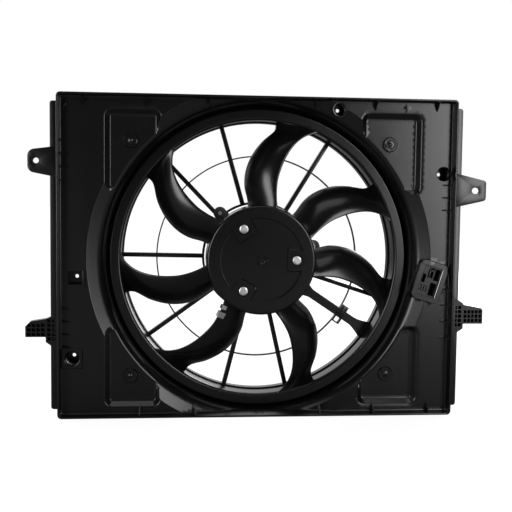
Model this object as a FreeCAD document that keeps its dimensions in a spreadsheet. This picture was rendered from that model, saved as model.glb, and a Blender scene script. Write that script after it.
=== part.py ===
import FreeCAD, Part
import math
import os
import Sketcher
from FreeCAD import Placement, Rotation, Vector

# Radiator cooling fan module: a moulded shroud that carries an external-rotor motor and a seven-blade fan.
#
# The origin lies on the fan axis, in the plane of the rim that seats against the radiator. +Y runs along the
# axis away from the radiator, +X to the right seen from the radiator side, and +Z up. All sizes are in mm.

os.makedirs("parts", exist_ok=True)
doc = FreeCAD.newDocument("radiator_cooling_fan")
dims = doc.addObject("Spreadsheet::Sheet", "dims")

# Driving sizes: name and value
SIZES = {
    "collar_bore": 228.3,
    "collar_wall": 2.5,
    "rim_beyond_left": 67.7,
    "rim_beyond_right": 59.7,
    "rim_above": 10.7,
    "rim_below": 3.2,
    "rim_wall": 2.8,
    "rim_corner": 6,
    "panel_depth": 17,
    "panel_wall": 2.5,
    "funnel_flare": 19.7,
    "collar_front": 46,
    "stator_front": 82,
    "stator_wall": 3,
    "stator_step": 22.8,
    "stator_lip": 2.6,
    "stator_rear": 96,
    "pad_depth": 8,
    "pad_slope": 7,
    "pad_inner_x": 155,
    "pad_inner_z": 105,
    "pad_left_margin": 74,
    "pad_right_margin": 57,
    "pad_upper_margin": 28,
    "pad_lower_margin": 20.5,
    "boss_left_inset": 30,
    "boss_right_inset": 39,
    "boss_level_inset": 38,
    "boss_radius": 11,
    "boss_height": 3,
    "gusset_length": 14,
    "gusset_wall": 2,
    "side_flange_reach": 9.8,
    "side_flange_depth": 10,
    "side_flange_wall": 2.5,
    "side_flange_top_margin": 12,
    "side_flange_low_margin": 12.5,
    "ear_depth": 9.5,
    "ear_wall": 4,
    "left_ear_drop": 97.2,
    "left_ear_reach": 41.5,
    "left_ear_hole": 4,
    "left_ear_hole_reach": 29.3,
    "right_ear_drop": 133,
    "right_ear_reach": 48,
    "right_ear_slot": 11,
    "right_ear_slot_radius": 4.5,
    "right_ear_slot_reach": 31.8,
    "foot_front": 6,
    "foot_depth": 12,
    "foot_web": 2,
    "foot_rib": 1.6,
    "foot_cell": 5,
    "left_foot_rise": 130,
    "right_foot_rise": 149,
    "left_foot_reach": 45.5,
    "right_foot_reach": 47,
    "socket_wall": 2.5,
    "socket_floor_hole": 2.6,
    "socket_a_inset": 15.6,
    "socket_a_drop": 109,
    "socket_a_radius": 10,
    "socket_a_floor": 42,
    "socket_b_x": 113.6,
    "socket_b_drop": 16.1,
    "socket_b_radius": 8.5,
    "socket_b_floor": 36.5,
    "socket_c_inset": 19.7,
    "socket_c_rise_above_edge": 85.9,
    "socket_c_radius": 10.5,
    "socket_c_floor": 46,
    "socket_c_rise": 2,
    "pocket_inset": 24.5,
    "pocket_z": -27,
    "pocket_width": 22,
    "pocket_height": 20,
    "pocket_floor": 34,
    "window_inset": 33,
    "window_z": -31,
    "window_width": 30,
    "window_height": 46,
    "window_turn": 17,
    "plinth_margin": 7,
    "plinth_rise": 4,
    "drain_width": 10,
    "drain_x": 3,
    "rear_rib_wall": 2.4,
    "mount_ring_gap": 10,
    "mount_ring_wall": 3.4,
    "mount_ring_rear": 98,
    "mount_boss_offset": 7,
    "mount_boss_radius": 8,
    "mount_boss_front": 84,
    "lug_angle": 11,
    "spoke_width": 6.5,
    "spoke_front": 84,
    "spoke_rear": 95,
    "guard_ring_radius": 155,
    "guard_ring_wall": 2,
    "guard_ring_depth": 6,
    "channel_width": 13.5,
    "channel_wall": 2.2,
    "channel_angle": -33.8,
    "flare_hub_length": 21,
    "flare_hub_width": 9,
    "flare_rim_length": 25,
    "flare_rim_width": 8,
    "clip_frame_length": 31,
    "clip_frame_width": 13,
    "hub_radius": 81,
    "hub_front": 10,
    "hub_rear": 62,
    "hub_wall": 3,
    "hub_chamfer": 4,
    "hub_recess_radius": 61,
    "hub_recess": 2,
    "hub_lobe_width": 32,
    "hub_lobe_reach": 38,
    "screw_circle": 52.8,
    "screw_seat_radius": 8.5,
    "screw_seat_depth": 1.6,
    "centre_boss_radius": 8,
    "ring_gap": 4,
    "ring_front": 48,
    "ring_rear": 79,
    "ring_step": 20.8,
    "ring_wall": 2.6,
    "ring_lip_wall": 2.2,
    "blade_wall": 2.8,
    "cup_radius": 60.5,
    "cup_wall": 2.2,
    "cup_front": 20.5,
    "cup_rear": 60,
    "magnet_wall": 4.2,
    "magnet_length": 30,
    "magnet_count": 10,
    "air_gap": 0.8,
    "stator_length": 24,
    "stator_tooth_count": 12,
    "tooth_width": 5.5,
    "tooth_tip_wall": 3,
    "core_back": 4.5,
    "coil_wall": 2.7,
    "coil_clearance": 0.3,
    "carrier_wall": 3.4,
    "bearing_radius": 13,
    "bearing_width": 9,
    "shaft_radius": 5,
    "shaft_clearance": 0.04,
    "shaft_front": 15.5,
    "shaft_rear": 79,
    "housing_front": 64,
    "housing_floor": 5,
    "housing_radius": 72,
    "housing_wall": 3.5,
    "housing_rear": 84,
    "lug_wall": 4,
    "lug_width": 20,
    "cover_wall": 2.6,
    "cover_rear": 112,
    "cover_fin_height": 5,
    "cover_fin_wall": 2,
    "cover_fin_count": 9,
    "gasket_wall": 1.2,
    "board_inset": 17,
    "board_wall": 1.6,
    "board_standoff": 3.5,
    "socket_body_width": 27,
    "socket_body_depth": 13,
    "socket_body_reach": 20,
    "screw_radius": 3,
    "screw_head_radius": 5.15,
    "screw_head_height": 3.4,
    "clearance_radius": 0.3,
    "sleeve_wall": 1.8,
    "cover_screw_radius": 2,
    "cover_screw_head": 3.6,
    "cover_screw_height": 2.6,
    "cover_screw_inset": 7.5,
    "cover_column_radius": 4.4,
    "breather_radius": 7,
    "breather_height": 4,
    "clip_wall": 1,
}

NOTES = {
    "ring_gap": "running gap between the fan ring's lip and the shroud collar",
    "rim_beyond_left": "rim's left edge beyond the collar's bore",
    "rim_below": "rim's lower edge beyond the collar's bore",
    "panel_depth": "rim plane to the panel's front face",
    "shaft_clearance": "running clearance between shaft and bearings",
}
for row, (word, number) in enumerate(SIZES.items(), start=1):
    dims.set("A%d" % row, word)
    dims.set("B%d" % row, str(number))
    dims.setAlias("B%d" % row, word)
    dims.set("C%d" % row, NOTES.get(word, ""))
doc.recompute()

# Sizes that follow from the driving ones, so that what belongs together moves together
FITS = {
    "axis_from_left": "dims.collar_bore + dims.rim_beyond_left",
    "axis_from_right": "dims.collar_bore + dims.rim_beyond_right",
    "axis_from_bottom": "dims.collar_bore + dims.rim_below",
    "axis_from_top": "dims.collar_bore + dims.rim_above",
    "funnel_mouth": "dims.collar_bore + dims.funnel_flare",
    "stator_bore": "dims.collar_bore - dims.stator_step",
    "ring_bore": "dims.collar_bore - dims.ring_step",
    "pad_left": "dims.collar_bore + dims.rim_beyond_left - dims.pad_left_margin",
    "pad_right": "dims.collar_bore + dims.rim_beyond_right - dims.pad_right_margin",
    "pad_upper": "dims.collar_bore + dims.rim_above - dims.pad_upper_margin",
    "pad_lower": "dims.collar_bore + dims.rim_below - dims.pad_lower_margin",
    "side_flange_top": "dims.collar_bore + dims.rim_above - dims.side_flange_top_margin",
    "side_flange_low": "dims.collar_bore + dims.rim_below - dims.side_flange_low_margin",
    "left_ear_height": "dims.collar_bore + dims.rim_above - dims.left_ear_drop",
    "right_ear_height": "dims.collar_bore + dims.rim_above - dims.right_ear_drop",
    "left_foot_height": "dims.left_foot_rise - dims.collar_bore - dims.rim_below",
    "right_foot_height": "dims.right_foot_rise - dims.collar_bore - dims.rim_below",
    "socket_a_x": "dims.collar_bore + dims.rim_beyond_right - dims.socket_a_inset",
    "socket_a_z": "dims.collar_bore + dims.rim_above - dims.socket_a_drop",
    "socket_b_x": "dims.socket_b_x",
    "socket_b_z": "dims.collar_bore + dims.rim_above - dims.socket_b_drop",
    "socket_c_x": "dims.socket_c_inset - dims.collar_bore - dims.rim_beyond_left",
    "socket_c_z": "dims.socket_c_rise_above_edge - dims.collar_bore - dims.rim_below",
    "pocket_x": "dims.pocket_inset - dims.collar_bore - dims.rim_beyond_left",
    "window_x": "dims.collar_bore + dims.rim_beyond_right - dims.window_inset",
    "mount_ring_bore": "dims.housing_radius + dims.mount_ring_gap",
    "mount_boss_circle": "dims.housing_radius + dims.mount_ring_gap + dims.mount_boss_offset",
    "board_radius": "dims.housing_radius - dims.board_inset",
    "cover_screw_circle": "dims.housing_radius - dims.cover_screw_inset",
}
fits = doc.addObject("Spreadsheet::Sheet", "fits")
for row, (word, formula) in enumerate(FITS.items(), start=1):
    fits.set("A%d" % row, word)
    fits.set("B%d" % row, "=" + formula)
    fits.setAlias("B%d" % row, word)
doc.recompute()

# Edges of the rim, as expressions of the sheet
LEFT = "-fits.axis_from_left"
RIGHT = "fits.axis_from_right"
LOW = "-fits.axis_from_bottom"
TOP = "fits.axis_from_top"


# Basic operations
def size(expression):
    """The number that an expression over the sheet has."""
    result = dims.evalExpression(str(expression))
    return float(getattr(result, "Value", result))


def bind(thing, **properties):
    """Tie properties to expressions; a double underscore stands for a dot."""
    for key, expression in properties.items():
        thing.setExpression(key.replace("__", "."), str(expression))
    return thing


def place(thing, x="0", y="0", z="0"):
    return bind(thing, Placement__Base__x=x, Placement__Base__y=y, Placement__Base__z=z)


def box(name, x, y, z):
    """Block between two limits along each axis."""
    thing = doc.addObject("Part::Box", name)
    bind(thing, Length="%s - (%s)" % (x[1], x[0]), Width="%s - (%s)" % (y[1], y[0]))
    bind(thing, Height="%s - (%s)" % (z[1], z[0]))
    return place(thing, x[0], y[0], z[0])


def rod(name, x, z, y, radius):
    """Cylinder along the fan axis direction."""
    thing = doc.addObject("Part::Cylinder", name)
    thing.Placement = Placement(Vector(), Rotation(Vector(1, 0, 0), -90))
    bind(thing, Radius=radius, Height="%s - (%s)" % (y[1], y[0]))
    return place(thing, x, y[0], z)


def hexagon(name, x, z, y, radius):
    """Six-sided bar along the fan axis direction; the radius runs to its corners."""
    thing = doc.addObject("Part::Prism", name)
    thing.Polygon = 6
    thing.Placement = Placement(Vector(), Rotation(Vector(1, 0, 0), -90))
    bind(thing, Circumradius=radius, Height="%s - (%s)" % (y[1], y[0]))
    return place(thing, x, y[0], z)


def cone(name, x, z, y, radius, rear_radius):
    thing = doc.addObject("Part::Cone", name)
    thing.Placement = Placement(Vector(), Rotation(Vector(1, 0, 0), -90))
    bind(thing, Radius1=radius, Radius2=rear_radius, Height="%s - (%s)" % (y[1], y[0]))
    return place(thing, x, y[0], z)


def frustum(name, y, x, z, rear_x, rear_z):
    """Block whose front and rear rectangles differ."""
    thing = doc.addObject("Part::Wedge", name)
    bind(thing, Ymin=y[0], Ymax=y[1], Xmin=x[0], Xmax=x[1], Zmin=z[0], Zmax=z[1])
    return bind(thing, X2min=rear_x[0], X2max=rear_x[1], Z2min=rear_z[0], Z2max=rear_z[1])


def radial_box(name, angle, along, across, y):
    """Block that lies along a radius at an angle from +X towards +Z; across runs at right angles to it."""
    thing = doc.addObject("Part::Box", name)
    turn = "(%s)" % angle
    bind(thing, Length="%s - (%s)" % (along[1], along[0]), Width="%s - (%s)" % (y[1], y[0]))
    bind(thing, Height="%s - (%s)" % (across[1], across[0]))
    thing.Placement = Placement(Vector(), Rotation(Vector(0, -1, 0), size(angle)))
    bind(thing, Placement__Rotation__Angle=turn)
    x = "(%s) * cos(%s) - (%s) * sin(%s)" % (along[0], turn, across[0], turn)
    z = "(%s) * sin(%s) + (%s) * cos(%s)" % (along[0], turn, across[0], turn)
    return place(thing, x, y[0], z)


def polar(radius, angle):
    """Expressions of X and Z at a radius and an angle."""
    return "(%s) * cos(%s)" % (radius, angle), "(%s) * sin(%s)" % (radius, angle)


def fuse(name, parts):
    thing = doc.addObject("Part::MultiFuse", name)
    thing.Shapes = parts
    return thing


def cut(name, base, tools):
    thing = doc.addObject("Part::Cut", name)
    thing.Base = base
    thing.Tool = tools[0] if len(tools) == 1 else fuse(name + "_tools", tools)
    return thing


def common(name, one, other):
    thing = doc.addObject("Part::Common", name)
    thing.Base = one
    thing.Tool = other
    return thing


def draw(sketch, corners):
    """Closed outline of straight lines with each corner held to its own pair of expressions."""
    points = [Vector(size(a), size(b), 0) for a, b in corners]
    count = len(points)
    for i in range(count):
        sketch.addGeometry(Part.LineSegment(points[i], points[(i + 1) % count]), False)
    for i in range(count):
        sketch.addConstraint(Sketcher.Constraint("Coincident", i, 2, (i + 1) % count, 1))
    for i, (a, b) in enumerate(corners):
        for kind, number, expression in (("DistanceX", points[i].x, a), ("DistanceY", points[i].y, b)):
            held = sketch.addConstraint(Sketcher.Constraint(kind, -1, 1, i, 1, number))
            sketch.setExpression("Constraints[%d]" % held, expression)
    return sketch


def turned(name, corners):
    """Body of revolution about the fan axis; corners are radius and distance behind the rim plane."""
    body = doc.addObject("PartDesign::Body", name)
    sketch = body.newObject("Sketcher::SketchObject", name + "_profile")
    plane = [item for item in body.Origin.OriginFeatures if item.Role == "XY_Plane"][0]
    sketch.AttachmentSupport = (plane, [""])
    sketch.MapMode = "FlatFace"
    draw(sketch, corners)
    spin = body.newObject("PartDesign::Revolution", name + "_spin")
    spin.Profile = sketch
    spin.ReferenceAxis = (sketch, ["V_Axis"])
    spin.Angle = 360
    body.Tip = spin
    return body


def slab(name, corners, y):
    """Plate with an outline in X and Z, from one depth to another."""
    sketch = doc.addObject("Sketcher::SketchObject", name + "_outline")
    sketch.Placement = Placement(Vector(), Rotation(Vector(1, 0, 0), 90))
    bind(sketch, Placement__Base__y=y[0])
    draw(sketch, corners)
    plate = doc.addObject("Part::Extrusion", name)
    plate.Base = sketch
    plate.DirMode = "Custom"
    plate.Dir = Vector(0, 1, 0)
    plate.Solid = True
    return bind(plate, LengthFwd="%s - (%s)" % (y[1], y[0]))


def rounded(name, base, radius, wanted):
    """Fillet on the edges of a solid for which wanted(edge) is true."""
    doc.recompute()
    edges = [i for i, edge in enumerate(base.Shape.Edges, start=1) if wanted(edge)]
    thing = doc.addObject("Part::Fillet", name)
    thing.Base = base
    thing.Edges = [(i, size(radius), size(radius)) for i in edges]
    return thing


def along_depth(edge):
    """Is the edge straight and parallel to the fan axis?"""
    first, last = edge.Vertexes[0].Point, edge.Vertexes[-1].Point
    return edge.Curve.TypeId == "Part::GeomLine" and abs(abs((last - first).y) - edge.Length) < 1e-6


# Shroud: rim and panel
# A shallow tray: the rim's front edge seats on the radiator, and the panel closes the corners behind it.
tray = box("tray", (LEFT, RIGHT), ("0", "dims.panel_depth + dims.panel_wall"), (LOW, TOP))
tray = rounded("tray_corners", tray, "dims.rim_corner", along_depth)
inside_x = (LEFT + " + dims.rim_wall", RIGHT + " - dims.rim_wall")
inside_z = (LOW + " + dims.rim_wall", TOP + " - dims.rim_wall")
tray_hollow = box("tray_hollow", inside_x, ("-1", "dims.panel_depth"), inside_z)
tray_hollow = rounded("tray_hollow_corners", tray_hollow, "dims.rim_corner - dims.rim_wall", along_depth)

# Shroud: funnel and collar round the fan
funnel_y = ("dims.panel_depth", "dims.collar_front")
collar_outer = "dims.collar_bore + dims.collar_wall"
funnel_skin = cone("funnel_skin", "0", "0", funnel_y, "fits.funnel_mouth + 1.3 * dims.collar_wall",
                   collar_outer)
collar_skin = rod("collar_skin", "0", "0", ("dims.collar_front", "dims.stator_front"), collar_outer)
rim_limits = box("rim_limits", (LEFT, RIGHT), ("0", "dims.stator_rear"), (LOW, TOP))
tunnel_block = common("tunnel_block", fuse("tunnel_blocks", [funnel_skin, collar_skin]), rim_limits)
funnel_air = cone("funnel_air", "0", "0", funnel_y, "fits.funnel_mouth", "dims.collar_bore")
air_limits = box("air_limits", inside_x, ("-1", "dims.collar_front"), inside_z)
funnel_room = common("funnel_room", funnel_air, air_limits)
tunnel_air = rod("tunnel_air", "0", "0", ("dims.collar_front", "dims.stator_front + 1"), "dims.collar_bore")

# Shroud: four sunk pads in the corners of the panel, with sloped sides
pad_skins, pad_hollows = [], []
for side, right in (("left", -1), ("right", 1)):
    for level, up in (("upper", 1), ("lower", -1)):
        for kind, grow, start in (("hollow", "0", "dims.panel_depth - 0.01"),
                                  ("skin", "dims.panel_wall", "dims.panel_depth")):
            x = ["%d * (dims.pad_inner_x - %s)" % (right, grow),
                 "%d * (fits.pad_%s + %s)" % (right, side, grow)]
            z = ["%d * (dims.pad_inner_z - %s)" % (up, grow), "%d * (fits.pad_%s + %s)" % (up, level, grow)]
            wide_x = ["%s - %d * dims.pad_slope" % (x[0], right),
                      "%s + %d * dims.pad_slope" % (x[1], right)]
            wide_z = ["%s - %d * dims.pad_slope" % (z[0], up), "%s + %d * dims.pad_slope" % (z[1], up)]
            if right < 0:
                x, wide_x = x[::-1], wide_x[::-1]
            if up < 0:
                z, wide_z = z[::-1], wide_z[::-1]
            depth = (start, "dims.panel_depth + dims.pad_depth + %s" % grow)
            made = frustum("pad_%s_%s_%s" % (kind, level, side), depth, wide_x, wide_z, x, z)
            (pad_hollows if kind == "hollow" else pad_skins).append(made)

hollows = fuse("shroud_hollows", [tray_hollow] + pad_hollows)
shell = cut("shroud_shell", fuse("shroud_skins", [tray] + pad_skins), [hollows])

# What is joined to the rim and to the panel, and what is taken out of the panel and out of the collar
added, removed, collar_removed = [], [], [funnel_room, tunnel_air] + pad_hollows
rim_added = {"top": [], "bottom": [], "left": [], "right": []}

# Stator ring: the step behind the fan and its lip
stator_ring = turned("stator_ring", [
    ("fits.stator_bore", "dims.stator_front"),
    (collar_outer, "dims.stator_front"),
    (collar_outer, "dims.stator_front + dims.stator_wall"),
    ("fits.stator_bore + dims.stator_lip", "dims.stator_front + dims.stator_wall"),
    ("fits.stator_bore + dims.stator_lip", "dims.stator_rear"),
    ("fits.stator_bore", "dims.stator_rear"),
])

# Rim frame: gussets between rim and panel
gusset_y = ("3", "dims.panel_depth")
for i, x in enumerate((-261, -169.5, -78, 76, 167, 260)):
    span = ("%s - dims.gusset_wall / 2" % x, "%s + dims.gusset_wall / 2" % x)
    wall = TOP + " - dims.rim_wall"
    rim_added["top"].append(frustum("gusset_top_%d" % i, gusset_y, span, (wall + " - 1", wall + " + 0.1"),
                             span, (wall + " - dims.gusset_length", wall + " + 0.1")))
for i, x in enumerate((-178, -95.5, 89.5, 171, 255)):
    span = ("%s - dims.gusset_wall / 2" % x, "%s + dims.gusset_wall / 2" % x)
    wall = LOW + " + dims.rim_wall"
    rim_added["bottom"].append(frustum("gusset_low_%d" % i, gusset_y, span,
                                       (wall + " - 0.1", wall + " + 1"),
                             span, (wall + " - 0.1", wall + " + dims.gusset_length")))
for i, z in enumerate((172, 153, 134, 114.5, -72.5, -92, -110.5, -129)):
    span = ("%s - dims.gusset_wall / 2" % z, "%s + dims.gusset_wall / 2" % z)
    wall = LEFT + " + dims.rim_wall"
    rim_added["left"].append(frustum("gusset_left_%d" % i, gusset_y, (wall + " - 0.1", wall + " + 1"), span,
                             (wall + " - 0.1", wall + " + dims.gusset_length"), span))
for i, z in enumerate((113.7, 95, 76.3, -42.2, -66.8, -91.7, -116.6)):
    span = ("%s - dims.gusset_wall / 2" % z, "%s + dims.gusset_wall / 2" % z)
    wall = RIGHT + " - dims.rim_wall"
    rim_added["right"].append(frustum("gusset_right_%d" % i, gusset_y, (wall + " - 1", wall + " + 0.1"),
                                      span,
                             (wall + " - dims.gusset_length", wall + " + 0.1"), span))

# Rim frame: sealing flanges down both sides
flange_y = ("dims.side_flange_depth", "dims.side_flange_depth + dims.side_flange_wall")
flange_z = ("-fits.side_flange_low", "fits.side_flange_top")
rim_added["left"].append(box("left_flange", (LEFT + " - dims.side_flange_reach", LEFT + " + 1"), flange_y,
                             flange_z))
rim_added["right"].append(box("right_flange", (RIGHT + " - 1", RIGHT + " + dims.side_flange_reach"),
                              flange_y, flange_z))

# Mounting ears: a round hole on the left and a slot on the right
ear_y = ("dims.ear_depth", "dims.ear_depth + dims.ear_wall")
ear_z = "fits.left_ear_height"
tip = LEFT + " - dims.left_ear_reach"
left_ear = slab("left_ear", [(LEFT, ear_z + " - 23.5"), (LEFT, ear_z + " + 21"),
                             (tip, ear_z + " + 15.5"), (tip, ear_z + " - 15.5")], ear_y)
left_ear = rounded("left_ear_corners", left_ear, "10",
                   lambda edge: along_depth(edge) and edge.Vertexes[0].X < size(LEFT) - 20)
ear_hole_x = LEFT + " - dims.left_ear_hole_reach"
through_ear = ("dims.ear_depth - 1", ear_y[1] + " + 1")
ear_holes = [rod("left_ear_hole_tool", ear_hole_x, ear_z, through_ear, "dims.left_ear_hole")]
ear_z = "fits.right_ear_height"
tip = RIGHT + " + dims.right_ear_reach"
right_ear = slab("right_ear", [(RIGHT, ear_z + " - 25.5"), (tip, ear_z + " - 14.5"),
                               (tip, ear_z + " + 14.5"), (RIGHT, ear_z + " + 26")], ear_y)
right_ear = rounded("right_ear_corners", right_ear, "5",
                    lambda edge: along_depth(edge) and edge.Vertexes[0].X > size(RIGHT) + 20)
slot_half = "(dims.right_ear_slot / 2 - dims.right_ear_slot_radius)"
slot_mid = RIGHT + " + dims.right_ear_slot_reach"
for end, way in (("near", "-"), ("far", "+")):
    at_x = "%s %s %s" % (slot_mid, way, slot_half)
    ear_holes.append(rod("slot_%s_end" % end, at_x, ear_z, through_ear, "dims.right_ear_slot_radius"))
ear_holes.append(box("slot_middle", ("%s - %s" % (slot_mid, slot_half), "%s + %s" % (slot_mid, slot_half)),
                     through_ear,
                     (ear_z + " - dims.right_ear_slot_radius", ear_z + " + dims.right_ear_slot_radius")))
ears_whole = fuse("ears_whole", [left_ear, right_ear])
mounting_ears = cut("mounting_ears", ears_whole, ear_holes)

# Support feet: tongues with a grid of cells open to the front
foot_y = ("dims.foot_front", "dims.foot_front + dims.foot_depth")
LEFT_FOOT = ((0, 21.5), (9, 19), (16, 16), (38, 12.5), (45.5, 5), (45.5, -10.5), (16.5, -10.5), (16.5, -18),
             (10, -22.5), (0, -30))
RIGHT_FOOT = ((0, 30), (10, 24), (17, 19), (17, 17.5), (45, 12), (47, 9), (47, -11.5), (17, -11.5), (17, -18.5),
              (11, -22.5), (0, -30))
feet, cells = [], []
for side, edge, way, outline in (("left", LEFT, "-", LEFT_FOOT), ("right", RIGHT, "+", RIGHT_FOOT)):
    height = "fits.%s_foot_height" % side
    stretch = "dims.%s_foot_reach / %s" % (side, "45.5" if side == "left" else "47")
    corners = [("%s %s %s * %s" % (edge, way, a, stretch), "%s + %s" % (height, b)) for a, b in outline]
    feet.append(slab("%s_foot" % side, corners, foot_y))
    cell_y = ("dims.foot_front - 1", "dims.foot_front + dims.foot_depth - dims.foot_web")
    columns = 4 if side == "left" else 5
    pitch = "(dims.foot_cell + dims.foot_rib)"
    for column in range(columns):
        for level in range(3):
            near = "%s %s (18 + %d * %s)" % (edge, way, column, pitch)
            far = "%s %s dims.foot_cell" % (near, way)
            low = "%s - 9 + %d * %s" % (height, level, pitch)
            x = (near, far) if way == "+" else (far, near)
            cells.append(box("%s_cell_%d_%d" % (side, column, level), x, cell_y,
                             (low, low + " + dims.foot_cell")))
    for column in range(2):
        for level in range(5):
            near = "%s %s (2.5 + %d * %s)" % (edge, way, column, pitch)
            far = "%s %s dims.foot_cell" % (near, way)
            low = "%s - 15.6 + %d * %s" % (height, level, pitch)
            x = (near, far) if way == "+" else (far, near)
            cells.append(box("%s_root_cell_%d_%d" % (side, column, level), x, cell_y,
                             (low, low + " + dims.foot_cell")))
feet_whole = fuse("feet_whole", feet)
support_feet = cut("support_feet", feet_whole, cells)

# Tab sockets: three round cups set in the panel, each with a small hole in its floor
socket_walls, socket_rooms = [], []
socket_fronts = {"a": "dims.panel_depth", "b": "dims.panel_depth",
                 "c": "(dims.panel_depth - dims.socket_c_rise)"}
for key, front in socket_fronts.items():
    at = ("fits.socket_%s_x" % key, "fits.socket_%s_z" % key)
    bore = "dims.socket_%s_radius" % key
    floor = "dims.socket_%s_floor" % key
    socket_walls.append(rod("socket_%s_wall" % key, *at, (front, floor + " + dims.socket_wall"),
                            bore + " + dims.socket_wall"))
    socket_rooms.append(rod("socket_%s_room" % key, *at, (front + " - 1", floor), bore))
    through_floor = (floor + " - 1", floor + " + dims.socket_wall + 1")
    socket_rooms.append(rod("socket_%s_hole" % key, *at, through_floor, "dims.socket_floor_hole"))
sockets_whole = fuse("sockets_whole", socket_walls)
tab_sockets = cut("tab_sockets", sockets_whole, socket_rooms)
square = "(dims.socket_c_radius + 4)"
added.append(box("socket_c_seat", ("fits.socket_c_x - " + square, "fits.socket_c_x + " + square),
                 ("dims.panel_depth - dims.socket_c_rise", "dims.panel_depth + 1"),
                 ("fits.socket_c_z - " + square, "fits.socket_c_z + " + square)))

# Shroud: square pocket at the left
half_x, half_z = "dims.pocket_width / 2", "dims.pocket_height / 2"
pocket_x = ("fits.pocket_x - " + half_x, "fits.pocket_x + " + half_x)
pocket_z = ("dims.pocket_z - " + half_z, "dims.pocket_z + " + half_z)
added.append(box("pocket_wall", (pocket_x[0] + " - dims.socket_wall", pocket_x[1] + " + dims.socket_wall"),
                 ("dims.panel_depth", "dims.pocket_floor + dims.socket_wall"),
                 (pocket_z[0] + " - dims.socket_wall", pocket_z[1] + " + dims.socket_wall")))
added.append(box("pocket_edge", (pocket_x[1], pocket_x[1] + " + dims.socket_wall"),
                 ("dims.panel_depth - 4", "dims.panel_depth + 1"), (pocket_z[0] + " - 1",
                                                                    pocket_z[1] + " + 1")))
pocket_room = box("pocket_room", pocket_x, ("dims.panel_depth - 5", "dims.pocket_floor"), pocket_z)
removed.append(pocket_room)
removed.append(rod("pocket_hole", "fits.pocket_x + 1", "dims.pocket_z + 1",
                   ("dims.pocket_floor - 1",
                    "dims.pocket_floor + dims.socket_wall + 1"), "dims.socket_floor_hole"))

# Shroud: round bosses on the four pads
boss_y = ("dims.panel_depth + dims.pad_depth - dims.boss_height", "dims.panel_depth + dims.pad_depth + 1")
for i, (right, up) in enumerate(((1, 1), (-1, 1), (-1, -1), (1, -1))):
    side, level = "right" if right > 0 else "left", "upper" if up > 0 else "lower"
    at = ("%d * (fits.pad_%s - dims.boss_%s_inset)" % (right, side, side),
          "%d * (fits.pad_%s - dims.boss_level_inset)" % (up, level))
    added.append(cone("boss_%d" % i, *at, boss_y, "dims.boss_radius - 1.5", "dims.boss_radius"))

# Shroud: plinth with the slanted connector window
plinth_half = ("(dims.window_width / 2 + dims.plinth_margin)",
               "(dims.window_height / 2 + dims.plinth_margin)")


def window_block(name, half_width, half_height, y):
    """Block about the middle of the window, turned with it."""
    thing = doc.addObject("Part::Box", name)
    bind(thing, Length="2 * %s" % half_width, Height="2 * %s" % half_height,
         Width="%s - (%s)" % (y[1], y[0]))
    thing.Placement = Placement(Vector(), Rotation(Vector(0, 1, 0), size("dims.window_turn")))
    bind(thing, Placement__Rotation__Angle="dims.window_turn")
    x = "fits.window_x - (%s) * cos(dims.window_turn) - (%s) * sin(dims.window_turn)" % (half_width,
                                                                                         half_height)
    z = "dims.window_z + (%s) * sin(dims.window_turn) - (%s) * cos(dims.window_turn)" % (half_width,
                                                                                         half_height)
    return place(thing, x, y[0], z)


plinth_y = ("dims.panel_depth - dims.plinth_rise", "dims.panel_depth + 12")
plinth = window_block("plinth_block", *plinth_half, plinth_y)
plinth = rounded("plinth_corners", plinth, "8", along_depth)
clear_of_fan = rod("plinth_limit", "0", "0", ("0", "dims.collar_front"), "dims.collar_bore + 0.5")
plinth = cut("plinth", plinth, [clear_of_fan])
window_opening = window_block("window_opening", "(dims.window_width / 2)", "(dims.window_height / 2)",
                              (plinth_y[0] + " - 1", "dims.collar_front"))

# Fan collar: funnel and wall round the fan, with a drain in its lowest part
collar_removed.append(box("drain", ("dims.drain_x - dims.drain_width / 2",
                                    "dims.drain_x + dims.drain_width / 2"),
                          ("dims.collar_front - 8", "dims.collar_front + 2"), (LOW + " - 1",
                                                                               "-dims.collar_bore + 3")))
fan_collar = cut("fan_collar", tunnel_block, collar_removed + [window_opening, plinth, sockets_whole])

# Rear ribs: webs behind the panel, from the collar towards the corners and sides
rib_y = ("dims.panel_depth + dims.panel_wall - 0.1", "dims.collar_front")
rib_half = "dims.rear_rib_wall / 2"
ribs = []
for i, (angle, reach) in enumerate(((22, 61), (35, 87), (48, 69), (132, 69), (145, 87), (158, 61), (202,
                                                                                                    61),
                                    (215, 87), (228, 59), (312, 59), (325, 87), (338, 61))):
    near, far = collar_outer + " - 1", "%s + %d" % (collar_outer, reach)
    rib = frustum("rear_rib_%d" % i, rib_y, (near, far), ("-" + rib_half, rib_half),
                  (near, near + " + 6"), ("-" + rib_half, rib_half))
    rib.Placement = Placement(Vector(), Rotation(Vector(0, -1, 0), angle))
    ribs.append(rib)

# Rim: the four walls in front of the panel
wide_x, wide_z = (LEFT + " - 60", RIGHT + " + 60"), (LOW + " - 10", TOP + " + 10")
rim_zone = box("rim_zone", wide_x, ("-1", "dims.panel_depth"), wide_z)
rim_walls = common("rim_walls", shell, rim_zone)
left_zone = box("rim_left_zone", (wide_x[0], LEFT + " + dims.rim_corner"), ("-1", "dims.panel_depth"),
                wide_z)
right_zone = box("rim_right_zone", (RIGHT + " - dims.rim_corner", wide_x[1]), ("-1", "dims.panel_depth"),
                 wide_z)
upper_zone = box("rim_upper_zone", wide_x, ("-1", "dims.panel_depth"), ("0", wide_z[1]))
long_walls = cut("rim_long_walls", rim_walls, [left_zone, right_zone])
rim_wall = {
    "top": common("rim_top_wall", long_walls, upper_zone),
    "bottom": cut("rim_bottom_wall", long_walls, [upper_zone]),
    "left": common("rim_left_wall", rim_walls, left_zone),
    "right": common("rim_right_wall", rim_walls, right_zone),
}
rim = {}
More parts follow.
